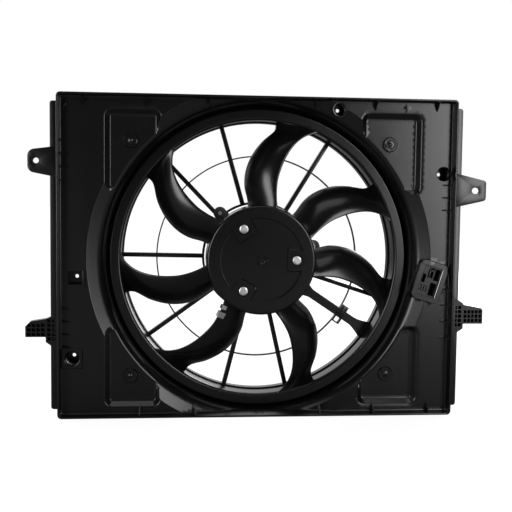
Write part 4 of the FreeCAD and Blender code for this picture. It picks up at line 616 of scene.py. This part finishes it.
# Connector housing: the harness socket, clipped in behind the slanted window.
# A separate moulding in black plastic with three deep pockets, three narrow slots and a sprung latch.
connector_black = moulded_plastic("connector_black", (0.0035, 0.0035, 0.004), 0.34)
HOUSING_POCKETS = (
    (7.75, -10.75, 4.75, 9.75, 17), (8.75, 11.75, 3.75, 8.75, 17), (-9.75, 2.5, 2.75, 6.5, 17),
    (-9.3, -12, 0.7, 5, 8), (-5.3, -12, 0.7, 5, 8), (-1.3, -12, 0.7, 5, 8), (-0.5, 13.25, 4.5, 7.25, 10),
)


def housing_front(x, z):
    depth = 18.0
    for px, pz, half_x, half_z, sunk in HOUSING_POCKETS:
        if max(abs(x - px) - half_x, abs(z - pz) - half_z) < -0.05:
            depth = 18.0 + sunk
    return depth


loops = [(oblong(0, 0, 14.6, 22.6), anywhere)]
for px, pz, half_x, half_z, _ in HOUSING_POCKETS:
    loops += [(oblong(px, pz, half_x - inset, half_z - inset), anywhere) for inset in (0, 0.12)]
housing = bmesh.new()
relief(housing, loops, [], housing_front, lambda x, z: 43.0, lambda x, z: max(abs(x) - 14.6, abs(z) - 22.6) < 0)
bars = bmesh.new()
for x, z in (((-4.4, -2.4), (5, 17)), ((1.4, 3.4), (5, 17)), ((-4.4, 3.4), (15, 17.2))):
    block(bars, x, (15.0, 28.0), z)
block(bars, (-2.4, 1.4), (22.0, 24.0), (5, 15.5))
for i in range(4):
    block(bars, (-13.4, -12.0), (16.2, 20.0), (-16.0 + 8 * i, -12.5 + 8 * i))
soften(bars, 0.3)
take_in(housing, bars)
for vert in housing.verts:
    x, z = to_plinth(vert.co.x, vert.co.z)
    vert.co = (x, vert.co.y, z)
seat(piece("harness_socket", housing, connector_black), "module", "connector_plastic", "connector_housing")
shoulder = bmesh.new()
outline = [to_plinth(a, b) for a, b in rounded_outline(oblong(0, 0, 19, 27), 3)]
window = [to_plinth(a, b) for a, b in oblong(0, 0, 14.4, 22.4)]
in_shoulder, in_window = within(outline), within(window)
relief(shoulder, [(outline, anywhere), (window, anywhere), (circle(0, 0, 243.5, ROUND_TURNS), anywhere)], [],
       lambda x, z: 29.0, lambda x, z: 32.0,
       lambda x, z: in_shoulder(x, z) and not in_window(x, z) and hypot(x, z) > 243.4)
seat(piece("harness_socket_flange", shoulder, connector_black), "module", "connector_plastic")

# Motor carrier: a ring with three bosses for the motor, and ten straight spokes out to the stator ring.
# All of it is moulded in one with the shroud.
BOSS_TURNS = (11, 131, 251)
BOSSES = circle(0, 0, 89, BOSS_TURNS)


def from_carrier(x, z):
    """Distance inside the ring or one of its bosses, less than zero outside."""
    radius = hypot(x, z)
    ring = min(radius - 82.0, 85.4 - radius)
    boss = max(8.0 - hypot(x - bx, z - bz) for bx, bz in BOSSES)
    whole = min(max(ring, boss), radius - 82.0)
    return min([whole] + [hypot(x - bx, z - bz) - 5.1 for bx, bz in BOSSES])


def carrier_edge(x, z):
    return max(0.6 - from_carrier(x, z), 0)


loops = [(circle(0, 0, radius, ROUND_TURNS), anywhere) for radius in (82, 82.6, 84.8, 85.4)]
for bx, bz in BOSSES:
    loops += [(circle(bx, bz, radius, range(0, 360, 10)), anywhere) for radius in (5.1, 5.7, 7.4, 8.0)]
carrier = bmesh.new()
relief(carrier, loops, [], lambda x, z: 84.0 + carrier_edge(x, z), lambda x, z: 98.0 - carrier_edge(x, z),
       lambda x, z: from_carrier(x, z) > 0)
seat(piece("motor_carrier", carrier, shroud_black), "module", "shroud_plastic", "motor_ring")

spoke = bmesh.new()
block(spoke, (85.0, 205.9), (84.0, 95.0), (-3.25, 3.25))
soften(spoke, 1.0, 3)
spoke = piece("spoke", spoke, shroud_black)
turns = (28, 58.5, 81.5, 106, 134, 179.3, 216, 256, 283, 342)
seat(set_out("spoke_set", spoke, [((0, 0, 0), (0, -turn, 0)) for turn in turns], shroud_black),
     "module", "shroud_plastic", "spokes")

# Wiring spoke: a wide channel for the motor's wiring, flared at both ends, moulded with the carrier.
# A frame for a cable clip stands across it.
CHANNEL = radians(-33.8)


def half_channel(run):
    """Half width of the wiring spoke at a radius: straight, with a hollow-sided flare at each end."""
    inner = max(1 - (run - 83) / 22, 0) ** 1.6 * 9
    outer = max(1 - (206.5 - run) / 26, 0) ** 1.6 * 8
    return 6.75 + inner + outer


def swing(bm, turn):
    """Turn a drawing about the fan axis."""
    bmesh.ops.rotate(bm, cent=(0, 0, 0), matrix=Matrix.Rotation(-turn, 3, "Y"), verts=bm.verts)


runs = [84.5 + i * 121.2 / 60 for i in range(61)]
outline = [(r, -half_channel(r)) for r in runs] + [(r, half_channel(r)) for r in reversed(runs)]
groove = [(86, -4.55), (203.5, -4.55), (203.5, 4.55), (86, 4.55)]
in_spoke, in_groove = within(outline), within([(a, b * 0.98) for a, b in groove])
channel = bmesh.new()
relief(channel, [(outline, anywhere), (groove, anywhere), ([(a, b * 0.97) for a, b in groove], anywhere)], [],
       lambda x, z: 84.0, lambda x, z: 86.2 if in_groove(x, z) else 95.0, in_spoke)
frame_bars = bmesh.new()
CLIP_FRAME = (
    ((153.5, 156.1), (-16.5, 14.5)), ((163.9, 166.5), (-16.5, 14.5)),
    ((156.1, 163.9), (-16.5, -14.1)), ((156.1, 163.9), (-7.1, 14.5)),
)
for x, z in CLIP_FRAME:
    block(frame_bars, x, (82.5, 92.0), z)
soften(frame_bars, 0.5)
take_in(channel, frame_bars)
swing(channel, CHANNEL)
seat(piece("wiring_channel", channel, shroud_black), "module", "shroud_plastic", "wiring_spoke")

# Guard ring: a thin ring through the middle of the spokes that keeps fingers out.
# It has rounded edges and is moulded with them.
guard = bmesh.new()
turn_profile(guard, [
    (154.4, 86), (155.6, 86), (156, 86.4), (156, 91.6), (155.6, 92), (154.4, 92), (154, 91.6), (154, 86.4),
], ROUND_TURNS, closed=True)
seat(piece("guard_ring_arcs", guard, shroud_black), "module", "shroud_plastic", "guard_ring")

# Motor housing: an aluminium die casting with a black coat, which holds the motor and its electronics.
# Three lugs on its rim are screwed to the carrier's bosses.


def grained(name, dark, light, smoothest, roughest, metal, scale, dent_depth, detail=4):
    """Material whose colour, gloss and surface vary with one grain."""
    material, shader, nodes, links = new_material(name)
    where = add(nodes, "TexCoord")
    grain = add(nodes, "TexNoise", Scale=scale, Detail=detail)
    gloss = add(nodes, "MapRange", To_Min=smoothest, To_Max=roughest)
    dent = add(nodes, "Bump", Distance=dent_depth, Strength=0.4)
    tone = add(nodes, "Mix")
    tone.data_type = "RGBA"
    tone.inputs["A"].default_value = (*dark, 1)
    tone.inputs["B"].default_value = (*light, 1)
    links.new(where.outputs["Object"], grain.inputs["Vector"])
    links.new(grain.outputs["Fac"], gloss.inputs["Value"])
    links.new(grain.outputs["Fac"], tone.inputs["Factor"])
    links.new(grain.outputs["Fac"], dent.inputs["Height"])
    links.new(tone.outputs["Result"], shader.inputs["Base Color"])
    links.new(gloss.outputs["Result"], shader.inputs["Roughness"])
    links.new(dent.outputs["Normal"], shader.inputs["Normal"])
    shader.inputs["Metallic"].default_value = metal
    return material


MOTOR_TURNS = [5 * i for i in range(72)]
cast = grained("cast_metal", (0.022, 0.022, 0.024), (0.034, 0.034, 0.036), 0.38, 0.62, 0.2, 420, 0.00015, 5)
casting = bmesh.new()
turn_profile(casting, [
    (13, 27.5), (16.4, 27.5), (16.4, 63.2), (17.2, 64), (65, 64), (68, 65), (71, 68), (72, 71), (72, 83.5),
    (71.5, 84), (68.5, 84), (68.5, 69), (13, 69), (13, 60), (11, 60), (11, 36.5), (13, 36.5),
], MOTOR_TURNS, closed=True)
for turn in BOSS_TURNS:
    arm = bmesh.new()
    outline = [(69, -11), (80, -10), (89, -10)] + circle(89, 0, 10, range(-75, 76, 15))
    outline += [(89, 10), (80, 10), (69, 11)]
    slab(arm, [(a, 80.0, b) for a, b in outline], [(a, 84.0, b) for a, b in outline])
    block(arm, (70, 82), (75.0, 80.5), (-1.5, 1.5))
    soften(arm, 0.6)
    swing(arm, radians(turn))
    take_in(casting, arm)
seat(piece("motor_casting", casting, cast), "module", "cast_aluminium", "motor_housing")

# Motor cover: a second casting of coated aluminium, screwed on behind the electronics.
# It has a seat for the plug socket and nine cooling fins, which stop short of the socket and the breather.
lid = bmesh.new()
turn_profile(lid, [
    (60.5, 85.2), (71.5, 85.2), (72, 85.7), (72, 87.3), (71.5, 87.8), (60, 87.8), (59, 88.8), (55.5, 105),
    (54, 107), (0, 107), (0, 104.4), (51.4, 104.4), (56.4, 87.8),
], MOTOR_TURNS)
seats = bmesh.new()
block(seats, (45, 63), (86.2, 99.0), (-15.5, 15.5))
block(seats, (40.4, 43), (86.2, 106.5), (-15.5, 15.5))
soften(seats, 0.6)
swing(seats, CHANNEL)
take_in(lid, seats)
seat(piece("motor_lid", lid, cast), "module", "cast_aluminium", "motor_cover")
VENT_Z, VENT_CLEAR, FINS = -18, 9, 9
c, s = cos(CHANNEL), sin(CHANNEL)
fins = bmesh.new()
for i in range(FINS):
    middle = 51 * (2 * (i + 0.5) / FINS - 1)
    half = sqrt(52.0 ** 2 - middle ** 2)
    runs = [(-half, half)]
    if abs(middle) < VENT_CLEAR:
        gap = sqrt(VENT_CLEAR ** 2 - middle ** 2)
        runs = [(-half, VENT_Z - gap), (VENT_Z + gap, half)]
    elif middle > 20 and c * middle - s * half > 43:
        # starts above the plug socket's seat
        runs = [((16 + s * middle) / c, half)]
    for low, high in runs:
        block(fins, (middle - 1, middle + 1), (106.5, 112.0), (low, high))
soften(fins, 0.5)
seat(piece("cooling_fins", fins, cast), "module", "cast_aluminium")

# Motor plug socket: a moulding in black plastic on its seat on the cover, beside the wiring spoke.
# Four pins stand in its mouth, which looks outwards along the spoke.
socket = bmesh.new()
SOCKET_WALLS = (
    ((43, 77), (99, 101), (-13.5, 13.5)), ((43, 77), (110, 112), (-13.5, 13.5)),
    ((43, 77), (101, 110), (-13.5, -11.5)), ((43, 77), (101, 110), (11.5, 13.5)),
    ((43, 51), (101, 110), (-11.5, 11.5)),
)
for x, y, z in SOCKET_WALLS:
    block(socket, x, y, z)
for across in (-7, -2.3, 2.3, 7):
    block(socket, (50, 62), (104, 105.4), (across - 0.8, across + 0.8))
soften(socket, 0.4)
swing(socket, CHANNEL)
seat(piece("motor_plug_socket", socket, connector_black), "module", "connector_plastic", "motor_socket")

# Breather plug: a small moulded plastic cap, pressed into a hole in the cover.
# It lets the housing breathe and keeps water out.
vent = bmesh.new()
turn_profile(vent, [
    (0, 111), (2.4, 111), (3.0, 110.6), (3.2, 110.2), (5.6, 110.2), (6.6, 109.6), (7, 108.6), (7, 107), (2.9, 107),
    (2.9, 104.4), (0, 104.4),
], [15 * i for i in range(24)], 0, VENT_Z)
seat(piece("vent_plug", vent, connector_black), "module", "breather_plastic", "breather_plug")

# Motor screws: zinc-plated steel screws with flanged hexagon heads and a star recess.
# Four hold the cover on the housing, and three larger ones hold the motor on the carrier.
steel = grained("zinc_steel", (0.74, 0.74, 0.72), (0.92, 0.92, 0.90), 0.26, 0.46, 1, 260, 0.00003)


def screw(name, corner, height, flange, shank, length):
    """Flanged hexagon screw along +Y: its seat at Y 0, its head towards -Y, with a star recess in the head."""
    bm = bmesh.new()
    turns = [15 * i for i in range(24)]

    def ring(y, reach):
        return [bm.verts.new((reach(t) * cos(radians(t)), y, reach(t) * sin(radians(t)))) for t in turns]

    def hexagon(t):
        return corner * 0.866 / cos(radians((t + 30) % 60 - 30))

    def star(t):
        return corner * (0.44 + 0.07 * cos(radians(6 * t)))

    rings = [
        ring(length, lambda t: shank * 0.8), ring(length - 0.8, lambda t: shank), ring(0, lambda t: shank),
        ring(0, lambda t: flange), ring(-0.5, lambda t: flange), ring(-0.9, lambda t: (flange + corner) / 2),
        ring(-1.0, hexagon), ring(-height + 0.5, hexagon), ring(-height, lambda t: min(hexagon(t), corner * 0.84)),
        ring(-height, star), ring(-height + 1.6, lambda t: star(t) * 0.96),
    ]
    for one, two in zip(rings, rings[1:]):
        for i in range(24):
            j = (i + 1) % 24
            bm.faces.new((one[i], one[j], two[j], two[i]))
    bm.faces.new(rings[0])
    bm.faces.new(rings[-1])
    return piece(name, bm, steel)


lid_screw = screw("lid_screw", 3.6, 2.6, 4.2, 2.0, 9.0)
lid_places = [((x, 87.8, z), (0, 0, 180)) for x, z in circle(0, 0, 64.5, (35, 125, 215, 305))]
seat(set_out("lid_screws", lid_screw, lid_places, steel), "module", "screw_steel", "cover_screws")
carrier_screw = screw("carrier_screw", 6.15, 3.4, 7.2, 3.0, 20.0)
seat(set_out("carrier_screws", carrier_screw, [((x, 98, z), (0, 0, 180)) for x, z in BOSSES], steel),
     "module", "screw_steel", "motor_mount_screws")

# Fan hub: a thin cup of black glass-filled plastic over the rotor, with twelve ribs inside.
# Its face has a sunk disc with three lobes round the screws and a small boss where the mould was fed.
fan_black = moulded_plastic("fan_black", (0.0035, 0.0035, 0.0038), 0.22)
HUB, SCREW_CIRCLE, LOBES = 81, 52.8, (0, 120, 240)
HUB_TURNS = [2 * i for i in range(180)]
FACE_RINGS = (4.0, 5.0, 5.8, 7.2, 8.1, 60.6, 61.0, 61.5, 62.1, 76.5, 77.2, 78.2, 79.2, 80.0, 80.6, 80.9, HUB)


def hub_face(x, z):
    """Depth of the hub's front face."""
    radius = hypot(x, z)
    if radius > 77:
        share = min((radius - 77) / 4, 1)
        return 10 + 4 * (1 - sqrt(max(1 - share * share, 0)))
    raised = slope((radius - 61) / 1.0)
    for turn in LOBES:
        a = radians(turn)
        along, across = x * cos(a) + z * sin(a), -x * sin(a) + z * cos(a)
        raised = max(raised, slope(0.5 - outside(along - 56, across, 18, 16, 4)))
    depth = 12 - 2 * raised
    for screw_x, screw_z in circle(0, 0, SCREW_CIRCLE, LOBES):
        away = hypot(x - screw_x, z - screw_z)
        depth += 1.6 * slope((8.5 - away) / 0.7) + (1.5 if away < 3.2 else 0)
    depth -= 1.0 * slope((8.0 - radius) / 0.7) - 1.2 * slope((5.6 - radius) / 1.4)
    return depth


loops = [(circle(0, 0, radius, HUB_TURNS), anywhere) for radius in FACE_RINGS]
for turn in LOBES:
    a = radians(turn)
    for grow in (-0.7, -0.4, 0, 0.4, 0.7):
        line = [(cos(a) * (56 + u) - sin(a) * v, sin(a) * (56 + u) + cos(a) * v)
                for u, v in frame_line(0, 0, 18 + grow, 16 + grow, 4 + grow, 3)]
        loops.append((line, lambda x, z: hypot(x, z) < 61.2))
    for radius in (3.1, 3.3, 7.7, 8.1, 8.6):
        loops.append((circle(*circle(0, 0, SCREW_CIRCLE, [turn])[0], radius, range(0, 360, 10)), anywhere))
hub = bmesh.new()
relief(hub, loops, [(4.0 * i + 2 * (j % 2), 4.0 * j) for i in range(-19, 20) for j in range(-19, 20)
                    if hypot(4.0 * i, 4.0 * j) < 75],
       hub_face, lambda x, z: 15.0, lambda x, z: hypot(x, z) < HUB, lambda x, z: False)
turn_profile(hub, [
    (HUB, 14), (HUB, 61.5), (80.5, 62), (78.5, 62), (78, 61.5), (78, 18), (76, 15.5), (61.3, 15.2), (61.3, 20.4),
    (44.3, 20.4), (44.3, 15), (0, 15),
], HUB_TURNS)
seat(piece("hub_moulding", hub, fan_black), "fan", "fan_plastic", "fan_hub")
rib = bmesh.new()
block(rib, (64.5, 79.5), (14.5, 48), (-1, 1))
soften(rib, 0.4)
rib = piece("rib", rib, fan_black)
seat(set_out("hub_ribs", rib, [((0, 0, 0), (0, -15 - 30 * i, 0)) for i in range(12)], fan_black),
     "fan", "fan_plastic")

# Hub screws: three zinc-plated steel screws with flanged heads.
# They go through the hub's face into the rotor cup.
hub_screw = screw("hub_screw", 5.15, 3.4, 6.4, 3.0, 11.0)
places = [((x, 11.6, z), (0, 120 * i + 20, 0)) for i, (x, z) in enumerate(circle(0, 0, SCREW_CIRCLE, LOBES))]
seat(set_out("hub_screw_set", hub_screw, places, steel), "fan", "screw_steel", "hub_screws")

# Fan blades: seven swept, twisted blades of the fan's plastic, moulded in one with hub and ring.
# The gaps between them are uneven, which quietens the fan.
BLADE_TURNS = (51, 100.6, 162.8, 213.4, 256, 313.4, 9.1)
SPAN_STEPS, CHORD_STEPS, TIP = 30, 26, 207.5
# share of the span; angle and depth of the leading edge, angle and depth of the trailing edge, camber
SECTIONS = (
    (-0.03, -29.5, 0.21, 1.7, 0.92, 5.0), (0.10, -24.6, 0.24, 1.0, 0.95, 6.0),
    (0.26, -22.4, 0.31, 1.2, 1.00, 7.0), (0.42, -23.0, 0.39, -0.8, 1.04, 7.5),
    (0.60, -24.9, 0.49, -5.4, 1.09, 7.0), (0.77, -27.7, 0.60, -11.6, 1.13, 6.0),
    (0.91, -31.4, 0.71, -17.6, 1.18, 4.5), (1.04, -37.0, 0.79, -18.2, 1.23, 3.5),
)


def section_at(share):
    """Smooth curve through the sections."""
    k = max(i for i in range(len(SECTIONS) - 1) if SECTIONS[i][0] <= share or i == 0)
    p = [SECTIONS[min(max(k + i, 0), len(SECTIONS) - 1)] for i in (-1, 0, 1, 2)]
    run = p[2][0] - p[1][0]
    t = (share - p[1][0]) / run
    found = []
    for c in range(1, 6):
        start = (p[2][c] - p[0][c]) / max(p[2][0] - p[0][0], 1e-6) * run
        end = (p[3][c] - p[1][c]) / max(p[3][0] - p[1][0], 1e-6) * run
        found.append((2 * t ** 3 - 3 * t ** 2 + 1) * p[1][c] + (t ** 3 - 2 * t ** 2 + t) * start
                     + (3 * t ** 2 - 2 * t ** 3) * p[2][c] + (t ** 3 - t ** 2) * end)
    return found


def blade_middle(share, chord):
    """Point on the blade's middle surface."""
    lead, lead_y, trail, trail_y, camber = section_at(share)
    slant = 5 * sin(pi * min(max(share, 0), 1)) * (1 - 2 * chord)
    radius = 79.5 + 129.3 * share + slant
    turn = radians(lead + (trail - lead) * chord)
    depth = 10 + 52 * (lead_y + (trail_y - lead_y) * chord)
    sweep = Vector(((trail_y - lead_y) * 52, radians(trail - lead) * radius)).normalized()
    lift = camber * 4 * chord * (1 - chord)
    turn -= lift * sweep.x / radius * (-1 if trail > lead else 1)
    depth -= lift * abs(sweep.y)
    return Vector((radius * cos(turn), depth, radius * sin(turn)))


SPANS = [-0.012 + 1.012 * i / SPAN_STEPS for i in range(SPAN_STEPS + 1)]
CHORDS = [(1 - cos(pi * i / CHORD_STEPS)) / 2 for i in range(CHORD_STEPS + 1)]
grid = [[blade_middle(share, chord) for chord in CHORDS] for share in SPANS]
blade = bmesh.new()
front, back = [], []
for i, row in enumerate(grid):
    front.append([])
    back.append([])
    for j, spot in enumerate(row):
        along = grid[min(i + 1, SPAN_STEPS)][j] - grid[max(i - 1, 0)][j]
        chordwise = row[min(j + 1, CHORD_STEPS)] - row[max(j - 1, 0)]
        normal = chordwise.cross(along).normalized()
        if normal.y > 0:
            normal = -normal
        round_nose = sqrt(max(1 - abs(2 * CHORDS[j] - 1) ** 10, 0))
        radius = hypot(spot.x, spot.z)
        foot = 1 + 1.3 * exp(-max(radius - HUB, 0) / 2.2) + 0.6 * exp(-max(TIP - radius, 0) / 2.0)
        half = 1.4 * (1.15 - 0.3 * SPANS[i]) * round_nose * foot
        front[-1].append(blade.verts.new(spot + normal * half))
        back[-1].append(blade.verts.new(spot - normal * half))
for i in range(SPAN_STEPS):
    for j in range(CHORD_STEPS):
        blade.faces.new((front[i][j], front[i][j + 1], front[i + 1][j + 1], front[i + 1][j]))
        blade.faces.new((back[i][j], back[i + 1][j], back[i + 1][j + 1], back[i][j + 1]))
for i in (0, SPAN_STEPS):
    for j in range(CHORD_STEPS):
        blade.faces.new((front[i][j], front[i][j + 1], back[i][j + 1], back[i][j]))
blade = piece("blade", blade, fan_black, 60)
seat(set_out("blade_set", blade, [((0, 0, 0), (0, -turn, 0)) for turn in BLADE_TURNS], fan_black),
     "fan", "fan_plastic", "fan_blades")

# Fan ring: the plastic hoop round the blade tips, moulded with them.
# Its front lip turns outwards to seal against the collar with a small running gap.
ring = bmesh.new()
turn_profile(ring, [
    (211.5, 48.0), (212.0, 48.0), (222.1, 48.0), (222.6, 48.0), (223.8, 48.5), (224.3, 49.7), (224.3, 53.6),
    (223.9, 54), (222.5, 54), (222.1, 53.6), (222.1, 51.2), (221.2, 50.2), (214.0, 50.2), (212.2, 51.0),
    (210.8, 52.6), (210.1, 55.0), (210.1, 78.5), (209.6, 79), (208.0, 79), (TIP, 78.5), (TIP, 54.0), (207.8, 51.4),
    (208.8, 49.4), (210.0, 48.4),
], ROUND_TURNS, closed=True)
seat(piece("outer_ring", ring, fan_black, 40), "fan", "fan_plastic", "fan_ring")

# Pieces that hardly show, in the shapes of the solids: the motor's pressed-steel rotor with its shaft and bearings,
# the stacked core with copper windings, the magnets, board and seal, the steel sleeves pressed into the carrier,
# and the spring-steel clips that are pushed onto two blades to balance the fan.


def inner_material(name, colour, roughness, metal, scale):
    dark, light = [0.85 * c for c in colour], [1.15 * c for c in colour]
    return grained(name, dark, light, roughness - 0.08, roughness + 0.1, metal, scale, 0.00004)


INNER = (
    (inner_material("pressed_steel", (0.45, 0.45, 0.46), 0.4, 1, 180),
     "rotor_cup", "rotor_shaft", "retaining_ring", "front_bearing", "rear_bearing"),
    (inner_material("ferrite", (0.03, 0.03, 0.035), 0.6, 0, 300), "rotor_magnets"),
    (inner_material("laminations", (0.25, 0.25, 0.26), 0.5, 1, 500), "stator_core"),
    (inner_material("enamelled_copper", (0.50, 0.18, 0.06), 0.35, 1, 400), "stator_windings"),
    (inner_material("board_green", (0.02, 0.12, 0.05), 0.4, 0, 250), "circuit_board"),
    (inner_material("seal_rubber", (0.015, 0.015, 0.015), 0.75, 0, 300), "cover_gasket"),
    (steel, "mount_sleeves", "balance_clip_small", "balance_clip_large"),
)
for material, *names in INNER:
    for name in names:
        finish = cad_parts[name].data.materials
        finish.clear()
        finish.append(material)

# Camera, light and floor: the camera stands where the photograph's stood, with soft boxes to the left and right.
# The floor and the room are white to the camera alone, and the room's front is dark, so that black stays black.
bpy.ops.mesh.primitive_plane_add(size=30, location=(0, 0, LOW / 1000 - 0.0002))
floor = bpy.context.object
floor.name = "floor"
camera = into_scene("camera", bpy.data.cameras.new("camera"))
camera.data.lens = 61.95
camera.data.sensor_width = 36
aim = Matrix.Rotation(radians(-5.24), 3, "Z") @ Matrix.Rotation(radians(-4.23), 3, "X")
aim = aim @ Matrix.Rotation(radians(-0.67), 3, "Y") @ Matrix.Rotation(pi / 2, 3, "X")
camera.matrix_world = Matrix.Translation((-0.1265, -1.2761, 0.1021)) @ aim.to_4x4()
camera.data.clip_start = 0.05
bpy.context.scene.camera = camera
bpy.context.scene.view_settings.view_transform = "Standard"


def soft_box(name, azimuth, height, distance, width, tall, power):
    """Area light that looks at the fan's middle from an angle left or right of the fan axis."""
    light = bpy.data.lights.new(name, "AREA")
    light.shape = "RECTANGLE"
    light.size, light.size_y = width, tall
    light.energy = power
    made = into_scene(name, light)
    turn = radians(azimuth)
    made.location = (distance * sin(turn), -distance * cos(turn), height)
    made.rotation_mode = "QUATERNION"
    made.rotation_quaternion = (-Vector(made.location)).to_track_quat("-Z", "Y")


soft_box("left_box", -43, 0.35, 2.4, 0.8, 1.8, 30)
soft_box("right_box", 29.5, 0.35, 2.4, 0.72, 1.9, 26)
soft_box("top_box", 0, 2.4, 0.9, 1.8, 1.2, 8)
soft_box("back_box", 152, 0.7, 2.4, 1.2, 1.8, 30)
world = bpy.data.worlds.new("white_room")
world.use_nodes = True
bpy.context.scene.world = world
room = world.node_tree
facing, parts, seen, shown = (add(room.nodes, kind) for kind in ("TexCoord", "SeparateXYZ", "LightPath", "Math"))
level = add(room.nodes, "MapRange", From_Min=-0.1, From_Max=0.35, To_Min=0.03, To_Max=0.9)
shown.operation = "MAXIMUM"
room.links.new(facing.outputs["Generated"], parts.inputs["Vector"])
room.links.new(parts.outputs["Y"], level.inputs["Value"])
room.links.new(level.outputs["Result"], shown.inputs[0])
room.links.new(seen.outputs["Is Camera Ray"], shown.inputs[1])
room.links.new(shown.outputs["Value"], room.nodes["Background"].inputs["Strength"])
room.nodes["Background"].inputs["Color"].default_value = (1, 1, 1, 1)
white, surface, nodes, links = new_material("white_floor")
seen, glow = add(nodes, "LightPath"), add(nodes, "MapRange", To_Max=0.9)
links.new(seen.outputs["Is Camera Ray"], glow.inputs["Value"])
links.new(glow.outputs["Result"], surface.inputs["Emission Strength"])
surface.inputs["Base Color"].default_value = (0.2, 0.2, 0.2, 1)
surface.inputs["Roughness"].default_value = 0.8
surface.inputs["Emission Color"].default_value = (1, 1, 1, 1)
floor.data.materials.append(white)
